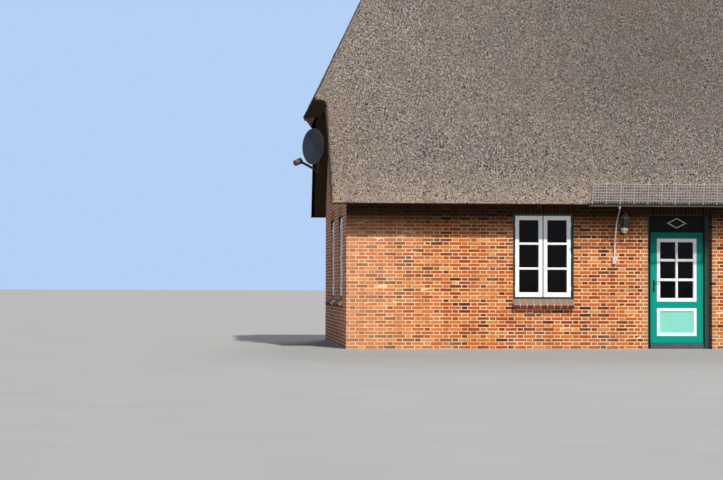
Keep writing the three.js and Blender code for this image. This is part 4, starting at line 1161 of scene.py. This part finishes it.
def door_surround():
    inner = LEAF_HALF + DOOR_CLEAR
    outer = DOOR_HALF - FIT
    bar = LEAF_TOP + DOOR_CLEAR
    top = DOOR_TOP - FIT
    step = inner + INNER_POST
    posts = lattice([-outer, -step, outer], [0, top - HEAD_BOARD, top], [(1, 0)], DOOR_SET_BACK, DOOR_BACK)
    right_post = block(step, outer, DOOR_SET_BACK, DOOR_BACK, 0, top - HEAD_BOARD)
    heights = [0, bar, bar + TRANSOM_BAR, top - FRAME_HEAD, top - HEAD_BOARD]
    lining = lattice([-step, -inner, inner, step], heights, [(1, 0), (1, 2)],
                     DOOR_SET_BACK + LINING_STEP, DOOR_BACK)
    piece("door_posts", at_door([posts]), POST_GREEN, replaces=["door_frame"], edge=0.004)
    piece("door_right_post", at_door([right_post]), RIGHT_POST_LIT_GREEN, edge=0.004)
    piece("door_lining", at_door([lining]), BLUE_BLACK, edge=0.003)
    board = block(-inner + FIT, inner - FIT, DOOR_SET_BACK - THRESHOLD_PROUD, DOOR_BACK,
                  0, LEAF_LOW - DOOR_CLEAR)
    piece("door_threshold_board", at_door([board]), BOARD,
          replaces=["door_threshold"], edge=0.006)


DIAMOND_W, DIAMOND_H, DIAMOND_STROKE, DIAMOND_PROUD = 0.384, 0.208, 0.026, 0.006
SMALL_DIAMOND, SMALL_STROKE, SMALL_PROUD = 0.060, 0.012, 0.004
TRANSOM_BOARD = 0.024


def diamond_ring(width, height, stroke, y, proud, z):
    """Raised diamond outline with bevelled edges, or a full diamond where the stroke reaches its middle."""
    rings = []
    for inset, lift in ((0, 0), (0.12, 1), (0.88, 1), (1, 0)):
        scale = 1 - 2 * stroke * inset / height
        w, h = width / 2 * scale, height / 2 * scale
        front = y - proud * lift
        rings.append([(-w, front, z), (0, front, z - h), (w, front, z), (0, front, z + h)])
    points = np.array(rings, float).reshape(-1, 3)
    return points, [face[::-1] for face in ring_faces(4, 4)]


def transom():
    low = LEAF_TOP + DOOR_CLEAR + TRANSOM_BAR + FIT
    top = DOOR_TOP - 2 * FIT - FRAME_HEAD
    y = DOOR_SET_BACK + (DOOR_FRAME_DEEP - TRANSOM_BOARD) / 2
    half = LEAF_HALF + DOOR_CLEAR - FIT
    middle = (low + top) / 2
    board = block(-half, half, y, y + TRANSOM_BOARD, low, top)
    piece("transom_board", at_door([board]), BLUE_BLACK,
          replaces=["transom_panel"], edge=0.002)
    ring = diamond_ring(DIAMOND_W, DIAMOND_H, DIAMOND_STROKE, y, DIAMOND_PROUD, middle)
    piece("transom_diamond", at_door([ring]), CREAM)
    small_h = SMALL_DIAMOND * DIAMOND_H / DIAMOND_W
    small = diamond_ring(SMALL_DIAMOND, small_h, SMALL_STROKE, y, SMALL_PROUD, middle)
    piece("transom_small_diamond", at_door([small]), BRONZE)


def door_leaf():
    xs = [-LEAF_HALF, -LIGHT_HALF, LIGHT_HALF, LEAF_HALF]
    zs = [LEAF_LOW, LOWER_LOW, LOWER_TOP, LIGHT_LOW, LIGHT_TOP, LEAF_TOP]
    rails = lattice(xs, zs, [(1, 1), (1, 3)], LEAF_FRONT, DOOR_BACK)
    piece("door_rails", at_door([rails]), TEAL, "door", replaces=["door_leaf"], edge=0.003)
    px = bar_edges(-LIGHT_HALF, LIGHT_HALF, LIGHT_STILE, LIGHT_STILE, LIGHT_BAR, 2)
    pz = bar_edges(LIGHT_LOW, LIGHT_TOP, LIGHT_RAIL, LIGHT_RAIL, LIGHT_BAR, 3)
    cells = [(i, k) for i in (1, 3) for k in (1, 3, 5)]
    light = lattice(px, pz, cells, LEAF_FRONT - MOULDING_PROUD, LEAF_LINING_BACK)
    piece("door_light_frame", at_door([light]), WHITE, "door", edge=0.004)
    fillets = [putty(px[i], px[i + 1], pz[k], pz[k + 1], DOOR_PUTTY_Y, DOOR_GLASS_Y, PUTTY)
               for i, k in cells]
    piece("door_light_putty", at_door(fillets), WHITE, "door")
    panes = [glass_sheet(px[i], px[i + 1], DOOR_GLASS_Y, pz[k], pz[k + 1]) for i, k in cells]
    piece("door_panes", at_door(panes), PANE, "door", replaces=["door_glass"])
    inner = LIGHT_HALF - LOWER_BORDER
    z0, z1 = LOWER_LOW + LOWER_BORDER, LOWER_TOP - LOWER_BORDER
    border = lattice([-LIGHT_HALF, -inner, inner, LIGHT_HALF], [LOWER_LOW, z0, z1, LOWER_TOP], [(1, 1)],
                     LEAF_FRONT - MOULDING_PROUD, LEAF_LINING_BACK)
    piece("door_lower_border", at_door([border]), WHITE, "door", edge=0.004)
    field = block(-inner, inner, FIELD_FRONT, FIELD_BACK, z0, z1)
    piece("door_lower_field", at_door([field]), MINT, "door", edge=0.003)


HINGE_HEIGHTS = (0.350, 1.150, 1.950)
KNUCKLE = 0.040
PIVOT_X = LEAF_HALF + DOOR_CLEAR / 2
PIVOT_Y = DOOR_BACK + 0.012
KNUCKLE_R, PIN_R, PIN_OVER = 0.010, 0.0055, 0.004
HINGE_LEAF, HINGE_THICK = (0.001, 0.049), 0.004


def door_hinges():
    for body, side, rise in (("house", 1, 0.0), ("door", -1, KNUCKLE + FIT)):
        parts = []
        for height in HINGE_HEIGHTS:
            z = height + rise
            x0, x1 = sorted(PIVOT_X + side * x for x in HINGE_LEAF)
            parts.append(block(x0, x1, LEAF_LINING_BACK, DOOR_BACK + HINGE_THICK, z, z + KNUCKLE))
            foot = (PIVOT_X, PIVOT_Y, z)
            parts.append(rod([foot, (PIVOT_X, PIVOT_Y, z + KNUCKLE)], KNUCKLE_R, 16))
            if body == "house":
                parts.append(rod([foot, (PIVOT_X, PIVOT_Y, z + 2 * KNUCKLE + PIN_OVER)], PIN_R, 12))
        piece(f"{body}_hinge_halves", at_door(parts), STEEL, body, edge=0.0008, smooth=40)


HANDLE_X = -0.443
LEVER_Z = 1.262
PLATE_TOP = 1.297
PLATE_H = 0.230
PLATE_HALF = 0.019
PLATE_THICK = 0.006
LEVER_LENGTH, LEVER_R = 0.125, 0.0075
LEVER_OUT, NECK_OUT = 0.045, (0.004, 0.030)
LEVER_BEND, LEVER_RISE = 0.006, 0.004
KEYHOLE_UP, KEYHOLE_R = 0.06, 0.011


def door_handles():
    parts = []
    for face, out in ((LEAF_FRONT, -1), (DOOR_BACK, 1)):
        low = PLATE_TOP - PLATE_H
        front, back = sorted((face + out * FIT, face + out * PLATE_THICK))
        parts.append(block(HANDLE_X - PLATE_HALF, HANDLE_X + PLATE_HALF, front, back, low, PLATE_TOP))
        stand = face + out * LEVER_OUT
        lever = [(HANDLE_X, face + out * neck, LEVER_Z) for neck in NECK_OUT]
        lever += [(HANDLE_X + LEVER_LENGTH * t, stand - out * LEVER_BEND * (1 - t) ** 3,
                   LEVER_Z + LEVER_RISE * math.sin(math.pi * t)) for t in np.linspace(0, 1, 12)]
        parts.append(rod(lever, LEVER_R, 12))
        keyhole = [(HANDLE_X, face + out * far, low + KEYHOLE_UP) for far in (0, KEYHOLE_R)]
        parts.append(rod(keyhole, KEYHOLE_R, 14))
    piece("door_handle_set", at_door(parts), BRONZE, "door",
          replaces=["door_handle"], edge=0.0015, smooth=40)


door_surround()
transom()
door_leaf()
door_hinges()
door_handles()

# Wire guard in front of the eave. In its own frame it stands upright, with its foot at z 0.

GUARD_PLACE = (0, -EAVE_Y - 0.122, EAVE_Z - 0.042)
GUARD_LEAN = Matrix.Rotation(math.radians(13), 4, "X")
GUARD_TOP = 0.454
RAIL_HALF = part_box("guard_rails")[1].x
RAIL = 0.006
LOWER_RAIL, UPPER_RAIL = (0.003, 0.027), (0.044, 0.064)
STRAP_W = 0.024
ARM_FRONT, ARM_BACK, ARM = -3.949, -3.700, 0.005
ROD_SPACING = 0.259
RODS = 15
ROD_W, ROD_THICK = 0.014, 0.006
ROD_FOOT = 0.050
MESH_R = 0.0042
MESH_CELLS = 5
MESH_PITCH = ROD_SPACING / MESH_CELLS
MESH_ROWS = 7
MESH_LOW = 0.112
MESH_FOOT = 0.072
CLIP = 0.004
STRAP_IN = 0.0008
RIVET_BACK, RIVET_FRONT, RIVET_R = 0.001, -0.0022, 0.0055
# How far out of true its bars and wires are
RAIL_WAVE, WIRE_WAVE, ROW_WAVE = 0.0012, 0.002, 0.003
ROD_LEAN, ROD_SHORTER = 0.003, 0.012
MESH_ENDS = (0.001, 0.006)


def on_guard(parts):
    return [moved(part, GUARD_PLACE, 0.0, GUARD_LEAN) for part in parts]


def flat_rail(low, high):
    """Flat bar along the guard, a little out of true."""
    stations = np.linspace(-RAIL_HALF, RAIL_HALF, 60)
    section = [(RAIL, high), (RAIL, low), (0.0, low), (0.0, high)]
    points = np.array([(x, y, z + RAIL_WAVE * math.sin(x * 4.3 + z * 90))
                       for x in stations for y, z in section])
    last = 4 * (len(stations) - 1)
    return points, ring_faces(len(stations), 4) + [[3, 2, 1, 0], [last, last + 1, last + 2, last + 3]]


def wire_guard():
    """Flat rods on two rails, with welded mesh over them and clips on the upper rail."""
    half = (RODS - 1) / 2 * ROD_SPACING
    rod_y = -FIT - ROD_THICK / 2
    mesh_y = -FIT - ROD_THICK
    rods, mesh, clips, straps, arms = [], [], [], [], []
    for index in range(RODS):
        x = index * ROD_SPACING - half
        lean = rng.uniform(-ROD_LEAN, ROD_LEAN)
        top = GUARD_TOP - rng.uniform(0.0, ROD_SHORTER)
        part = rod([(0, rod_y, ROD_FOOT), (lean / 2, rod_y, top / 2), (lean, rod_y, top)], ROD_THICK / 2, 8)
        part[0][:, 0] = x + part[0][:, 0] * ROD_W / ROD_THICK
        rods.append(part)
        if index % 2 == 0:
            x0, x1 = x - STRAP_W / 2, x + STRAP_W / 2
            clips.append(block(x0, x1, rod_y, RAIL, UPPER_RAIL[1] + FIT, UPPER_RAIL[1] + FIT + CLIP))
            z0, z1 = LOWER_RAIL[0] + 0.002, UPPER_RAIL[1] - 0.002
            straps.append(block(x0, x1, STRAP_IN, RAIL - STRAP_IN, z0, z1))
            arms.append(block(x0, x1, ARM_FRONT, ARM_BACK, EAVE_Z - FIT - ARM, EAVE_Z - FIT))
            for z in (sum(LOWER_RAIL) / 2, sum(UPPER_RAIL) / 2):
                straps.append(rod([(x, RIVET_BACK, z), (x, RIVET_FRONT, z)], RIVET_R, 6))
    for column in range((RODS - 1) * MESH_CELLS + 1):
        x = column * MESH_PITCH - half
        top = MESH_LOW + (MESH_ROWS - 1) * MESH_PITCH + rng.uniform(*MESH_ENDS)
        path = [(x + WIRE_WAVE * math.sin(z * 31 + x * 9), mesh_y, z) for z in np.linspace(MESH_FOOT, top, 9)]
        mesh.append(rod(path, MESH_R, 6))
    for row in range(MESH_ROWS):
        z = MESH_LOW + row * MESH_PITCH
        path = [(x, mesh_y, z + ROW_WAVE * math.sin(x * 7 + z * 40)) for x in np.linspace(-half, half, 90)]
        mesh.append(rod(path, MESH_R, 6))
    piece("guard_lower_rail", on_guard([flat_rail(*LOWER_RAIL)]), BRIGHT_ZINC, edge=0.001)
    piece("guard_frame", on_guard([flat_rail(*UPPER_RAIL)] + straps) + arms, ZINC,
          replaces=["guard_rails"], edge=0.001)
    piece("guard_rods", on_guard(rods), BRIGHT_ROD, replaces=["wire_guard"], smooth=60)
    piece("guard_mesh", on_guard(mesh), WIRE, smooth=60)
    piece("guard_clips", on_guard(clips), WIRE, edge=0.001)


wire_guard()

# Conduit from the eave to the small box on the wall

CONDUIT_X = -1.258
CONDUIT_R = 0.0128
SOCKET_R = 0.019
SCREW_IN, SCREW_R = 0.012, 0.004
LID_IN, LID_BACK, BOX_FRONT = 0.003, 0.007, 0.008
CONDUIT_ROUTE = [(-3.755, 2.686), (-3.742, 2.592), (-3.600, 2.475), (-3.470, 2.340), (-3.390, 2.176),
                 (-3.340, 2.056), (-3.290, 1.890), (-3.265, 1.724)]


def through(points, steps):
    """Smooth line through the points."""
    pts = [np.array(p, float) for p in points]
    pts = [2 * pts[0] - pts[1]] + pts + [2 * pts[-1] - pts[-2]]
    line = []
    for a, b, c, d in zip(pts, pts[1:], pts[2:], pts[3:]):
        for t in np.linspace(0, 1, steps, endpoint=False):
            bend = (2 * a - 5 * b + 4 * c - d) * t * t + (3 * b - a - 3 * c + d) * t ** 3
            line.append(0.5 * (2 * b + (c - a) * t + bend))
    return line + [pts[-2]]


def conduit():
    path = through([(CONDUIT_X, y, z) for y, z in CONDUIT_ROUTE], 6)
    piece("conduit_tube", [rod(path, CONDUIT_R, 14)], PLASTIC,
          replaces=["cable_conduit"], smooth=60)
    socket = rod([(CONDUIT_X, -3.7535, 2.655), (CONDUIT_X, -3.747, 2.618)], SOCKET_R, 16)
    piece("conduit_socket", [socket], SOCKET_WHITE, edge=0.002, smooth=40)
    low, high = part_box("junction_box")
    body = block(low.x, high.x, low.y + BOX_FRONT, high.y, low.z, high.z)
    lid = block(low.x + LID_IN, high.x - LID_IN, low.y, low.y + LID_BACK, low.z + LID_IN, high.z - LID_IN)
    piece("junction_box_body", [body, lid], BOX_GREY, replaces=["junction_box"], edge=0.004)
    corners = itertools.product((low.x + SCREW_IN, high.x - SCREW_IN), (low.z + SCREW_IN, high.z - SCREW_IN))
    screws = [rod([(x, low.y + 0.001, z), (x, low.y - 0.0005, z)], SCREW_R, 10) for x, z in corners]
    middle = (low.x + high.x) / 2
    nut = rod([(middle, -3.265, high.z), (middle, -3.2655, high.z + 0.018)], SOCKET_R, 6)
    piece("junction_box_screws", screws + [nut], PLASTIC, edge=0.001)


conduit()

# Wall lantern

LANTERN = (-1.091, -HALF_D - 0.130, 2.155)
LANTERN_OUT = 0.130
LANTERN_LEAN = Matrix.Rotation(math.radians(4.5), 4, "Y")
LAMP_BASE_TOP, LAMP_CAP_LOW = 0.112, 0.288
LAMP_POST_R, LAMP_GLASS_R = 0.077, 0.072
LAMP_SIDES = 6
# Radius and height along the outline of each turned part
LAMP_KNOB = [(0.0005, 0.0), (0.010, 0.003), (0.014, 0.010), (0.011, 0.018), (0.016, 0.022)]
LAMP_BASE = [(0.016, 0.020), (0.046, 0.021), (0.049, 0.024), (0.050, 0.062), (0.069, 0.065),
             (0.0725, 0.069), (0.073, 0.108), (0.070, LAMP_BASE_TOP)]
LAMP_CAP = [(0.060, LAMP_CAP_LOW), (0.089, LAMP_CAP_LOW), (0.0915, 0.291), (0.092, 0.316), (0.087, 0.324),
            (0.068, 0.340), (0.056, 0.354), (0.042, 0.372), (0.030, 0.380), (0.015, 0.384)]
LAMP_FINIAL = [(0.008, 0.382), (0.012, 0.388), (0.016, 0.395), (0.012, 0.403), (0.004, 0.409),
               (0.0005, 0.413)]
LAMP_BULB = [(0.014, 0.111), (0.014, 0.135), (0.022, 0.150), (0.030, 0.175), (0.026, 0.200),
             (0.001, 0.212)]
LAMP_POST_THICK = 0.0052
LAMP_ARM_R = 0.011
LAMP_PLATE_HALF, LAMP_PLATE_LOW, LAMP_PLATE_TOP = 0.042, 0.030, 0.190
# The foot of a post or pane, and the inside of a pane, as a share of its radius
POST_FOOT, PANE_FOOT, PANE_INSIDE = 0.93, 0.95, 0.96


def at_lantern(parts):
    return [moved(part, LANTERN, 0.0, LANTERN_LEAN) for part in parts]


def lantern():
    half_turn = math.pi / LAMP_SIDES
    posts, panes = [], []
    for index in range(LAMP_SIDES):
        angle = 2 * half_turn * index
        x, y = LAMP_POST_R * math.cos(angle), LAMP_POST_R * math.sin(angle)
        foot, head = (x * POST_FOOT, y * POST_FOOT, LAMP_BASE_TOP - 0.002), (x, y, LAMP_CAP_LOW + 0.002)
        posts.append(rod([foot, head], LAMP_POST_THICK, 6))
        after = angle + 2 * half_turn
        edges = ((LAMP_GLASS_R * PANE_FOOT, LAMP_BASE_TOP), (LAMP_GLASS_R, LAMP_CAP_LOW))
        quad = [(r * math.cos(a), r * math.sin(a), z) for r, z in edges for a in (angle, after)]
        inner = [(x * PANE_INSIDE, y * PANE_INSIDE, z) for x, y, z in quad]
        points = np.array(quad + inner, float)
        faces = [[0, 1, 3, 2], [5, 4, 6, 7], [0, 2, 6, 4], [1, 5, 7, 3], [2, 3, 7, 6], [0, 4, 5, 1]]
        panes.append((points, faces))
    sweep = np.linspace(0, 1, 14)
    arm = [(0, 0.04 + 0.080 * t, 0.090 + 0.030 * math.sin(math.pi * t)) for t in sweep]
    plate = block(-LAMP_PLATE_HALF, LAMP_PLATE_HALF, LANTERN_OUT - 0.012, LANTERN_OUT - 0.001,
                  LAMP_PLATE_LOW, LAMP_PLATE_TOP)
    metal = [turned(LAMP_CAP, LAMP_SIDES), turned(LAMP_FINIAL, 20)] + posts
    metal += [rod(arm, LAMP_ARM_R, 12), plate]
    piece("lantern_knob", at_lantern([turned(LAMP_KNOB, 24)]), STEEL, smooth=60)
    piece("lantern_metalwork", at_lantern(metal), VERDIGRIS,
          replaces=["wall_lantern"], edge=0.0015, smooth=30)
    piece("lantern_base", at_lantern([turned(LAMP_BASE, LAMP_SIDES)]), LAMP_CREAM,
          edge=0.002, smooth=30)
    piece("lantern_panes", at_lantern(panes), LAMP_PANE, replaces=["lantern_glass"])
    piece("lantern_bulb", at_lantern([turned(LAMP_BULB, 20)]), LAMP_CREAM, smooth=60)


lantern()

# Satellite dish on the left gable

DISH_PLACE = (-6.885, -2.400, 3.820)
DISH_TURN = math.radians(-57)
DISH_R, DISH_BOWL, DISH_THICK = 0.345, 0.070, 0.005
DISH_BOSS = [(0.045, DISH_BOWL + 0.001), (0.045, 0.095), (0.038, 0.102), (0.030, 0.108)]
# Radius of the bowl's first ring, in place of a point
PINHOLE = 0.0005
MAST_Y = 0.1293
FEED = np.array([0.0, -0.350, -0.311])
FEED_TILT = math.radians(22)
FEED_R, FEED_LENGTH = 0.060, 0.150
FEED_ARM_R = 0.024
MAST_R = 0.020
HORN_R = 0.046
MAST_ARM_R, STRUT_R, BOLT_R = 0.017, 0.008, 0.010
WALL_PLATE_HALF, CLAMP_HALF, BOLT_OUT = 0.085, 0.028, 0.06
MAST_ARM_Z = DISH_PLACE[2] - 0.200
FEED_FOOT = np.array([0.0, MAST_Y, -0.468])
FEED_ARM_END = np.array([0.0, -0.290, -0.300])


def along_y(part):
    """A part turned about Z laid along y, its lower end towards -y."""
    return moved(part, matrix=Matrix.Rotation(-math.pi / 2, 4, "X"))


def at_dish(parts):
    return [moved(part, DISH_PLACE, DISH_TURN) for part in parts]


def dish():
    radii = np.linspace(0, 1, 17) * (DISH_R - 0.004)
    bowl = DISH_BOWL * (1 - (radii / DISH_R) ** 2)
    inner = [(max(r, PINHOLE), b) for r, b in zip(radii, bowl)]
    rim = [(DISH_R - 0.001, -0.002), (DISH_R, 0.001), (DISH_R, 0.006), (DISH_R - 0.004, 0.007)]
    outer = [(r, b + DISH_THICK) for r, b in inner[::-1]]
    shell = along_y(turned(inner + rim + outer, 72))
    boss = along_y(turned(DISH_BOSS, 24))
    piece("dish_bowl", at_dish([shell, boss]), DISH_GREY,
          replaces=["dish_reflector"], smooth=40)
    aim = np.array([0, math.cos(FEED_TILT), math.sin(FEED_TILT)])
    head = rod([FEED + aim * t for t in (-FEED_LENGTH / 2, -0.060, 0.020)], FEED_R - 0.003, 24)
    horn = rod([FEED + aim * t for t in (0.018, 0.046)], HORN_R, 20)
    mouth = rod([FEED + aim * t for t in (0.044, FEED_LENGTH / 2)], FEED_R, 24)
    piece("dish_feed_head", at_dish([head]), FEED_BROWN,
          replaces=["dish_feed"], edge=0.006, smooth=40)
    start = FEED_FOOT + np.array([0, -0.022, 0.009])
    reach = FEED_ARM_END - start
    arm = [start + reach * t for t in np.linspace(0, 1, 10)]
    clamp = block(-0.03, 0.03, MAST_Y - 0.032, MAST_Y - 0.022, -0.49, -0.43)
    piece("dish_feed_arm", at_dish([rod(arm, FEED_ARM_R, 16), horn, mouth, clamp]), STEEL,
          edge=0.002, smooth=40)
    low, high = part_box("dish_bracket")
    mast_x = DISH_PLACE[0] - MAST_Y * math.sin(DISH_TURN)
    mast_y = DISH_PLACE[1] + MAST_Y * math.cos(DISH_TURN)
    plate_x, z = -HALF_L, MAST_ARM_Z
    parts = [rod([(mast_x, mast_y, low.z), (mast_x, mast_y, high.z - 0.004)], MAST_R, 24),
             rod([(mast_x, mast_y, high.z - 0.006), (mast_x, mast_y, high.z)], MAST_R - 0.002, 24),
             rod([(mast_x, mast_y, z), (plate_x - 0.004, mast_y, z)], MAST_ARM_R, 20),
             rod([(mast_x, mast_y, z - 0.10), (plate_x - 0.006, mast_y, z - 0.06)], STRUT_R, 10),
             block(plate_x - 0.0085, plate_x - 0.001, mast_y - WALL_PLATE_HALF, mast_y + WALL_PLATE_HALF,
                   z - WALL_PLATE_HALF, z + WALL_PLATE_HALF),
             block(mast_x - CLAMP_HALF, mast_x + CLAMP_HALF, mast_y - CLAMP_HALF, mast_y + CLAMP_HALF,
                   z - 0.03, z + 0.03)]
    for dy, dz in itertools.product((-BOLT_OUT, BOLT_OUT), repeat=2):
        parts.append(rod([(plate_x - out, mast_y + dy, z + dz) for out in (0.006, 0.015)], BOLT_R, 6))
    piece("dish_wall_bracket", parts, STEEL, replaces=["dish_bracket"], edge=0.002, smooth=40)


dish()


# Nodes of the frame that stay as they are, with their finishes

CARRIED = {
    "front_wall_left": EAVE_MORTAR, "front_wall_right": EAVE_MORTAR, "front_wall_over_door": EAVE_MORTAR,
    "rear_wall": EAVE_MORTAR,
    "left_gable_wall": MORTAR, "right_gable_wall": MORTAR, "chimney": MORTAR,
    "floor_slab": slab_finish(), "attic_floor": boards_finish(),
}
for node_name, node_finish in CARRIED.items():
    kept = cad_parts[node_name]
    kept.data.materials.clear()
    kept.data.materials.append(node_finish)


# Floor, light and camera

FLOOR_SIZE = 600.0
floor_mesh = bpy.data.meshes.new("studio_floor")
corners = [(x * FLOOR_SIZE, y * FLOOR_SIZE, 0) for x, y in ((-1, -1), (1, -1), (1, 1), (-1, 1))]
floor_mesh.from_pydata(corners, [], [[0, 1, 2, 3]])
floor_look = Finish("studio_floor")
paving = floor_look.ramp(floor_look.noise(0.8, 2), [(0.3, (160, 160, 157)), (0.7, (164, 164, 161))])
floor_mesh.materials.append(floor_look.done(paving, 0.9))
floor = bpy.data.objects.new("studio_floor", floor_mesh)
bpy.context.scene.collection.objects.link(floor)

world = bpy.data.worlds.new("studio")
bpy.context.scene.world = world
world.use_nodes = True
sky = world.node_tree
lit_by = sky.nodes["Background"]
lit_by.inputs["Color"].default_value = paint_colour(200, 208, 232)
lit_by.inputs["Strength"].default_value = 0.33
backdrop = sky.nodes.new("ShaderNodeBackground")
backdrop.inputs["Color"].default_value = paint_colour(182, 209, 246)
looked_at = sky.nodes.new("ShaderNodeLightPath")
chosen = sky.nodes.new("ShaderNodeMixShader")
sky.links.new(looked_at.outputs["Is Camera Ray"], chosen.inputs[0])
sky.links.new(lit_by.outputs[0], chosen.inputs[1])
sky.links.new(backdrop.outputs[0], chosen.inputs[2])
sky.links.new(chosen.outputs[0], sky.nodes["World Output"].inputs["Surface"])


def sun(name, direction, strength, width_deg, colour=(1, 1, 1)):
    light = bpy.data.lights.new(name, "SUN")
    light.energy = strength
    light.angle = math.radians(width_deg)
    light.color = colour
    made = bpy.data.objects.new(name, light)
    made.rotation_euler = Vector(direction).to_track_quat("-Z", "Y").to_euler()
    bpy.context.scene.collection.objects.link(made)


sun("key_light", (-0.32, 1.0, -1.095), 3.98, 2.0, (1.0, 0.97, 0.92))
sun("rear_fill", (-0.25, -1.0, -0.8), 0.9, 20.0)
sun("side_fill", (1.0, 0.0, -0.02), 0.6, 30.0, (0.10, 0.42, 1.0))
sun("front_fill", (0.2, 1.0, 0.1), 0.8, 60.0, (0.92, 0.96, 1.0))

# The view: where it stands, where it looks, and its angle of view on the 36 mm wide frame
PICTURE_W = 723
FOCAL_PIXELS = 1946.3
YAW, TILT, ROLL = math.radians(4.42), math.radians(1.383), math.radians(0.177)
STANDPOINT = Vector((-8.808, -39.33, 1.15))
forward = Vector((math.sin(YAW) * math.cos(TILT), math.cos(YAW) * math.cos(TILT), math.sin(TILT)))
level = Vector((math.cos(YAW), -math.sin(YAW), 0))
upright = level.cross(forward)
right = level * math.cos(ROLL) + upright * math.sin(ROLL)
up = upright * math.cos(ROLL) - level * math.sin(ROLL)
camera_data = bpy.data.cameras.new("view")
camera_data.sensor_width = 36.0
camera_data.lens = FOCAL_PIXELS / PICTURE_W * camera_data.sensor_width
camera_data.clip_end = 2000.0
camera = bpy.data.objects.new("view", camera_data)
camera.matrix_world = Matrix.Translation(STANDPOINT) @ Matrix((
    (right.x, up.x, -forward.x), (right.y, up.y, -forward.y), (right.z, up.z, -forward.z))).to_4x4()
bpy.context.scene.collection.objects.link(camera)
bpy.context.scene.camera = camera
bpy.context.scene.view_settings.view_transform = "Standard"
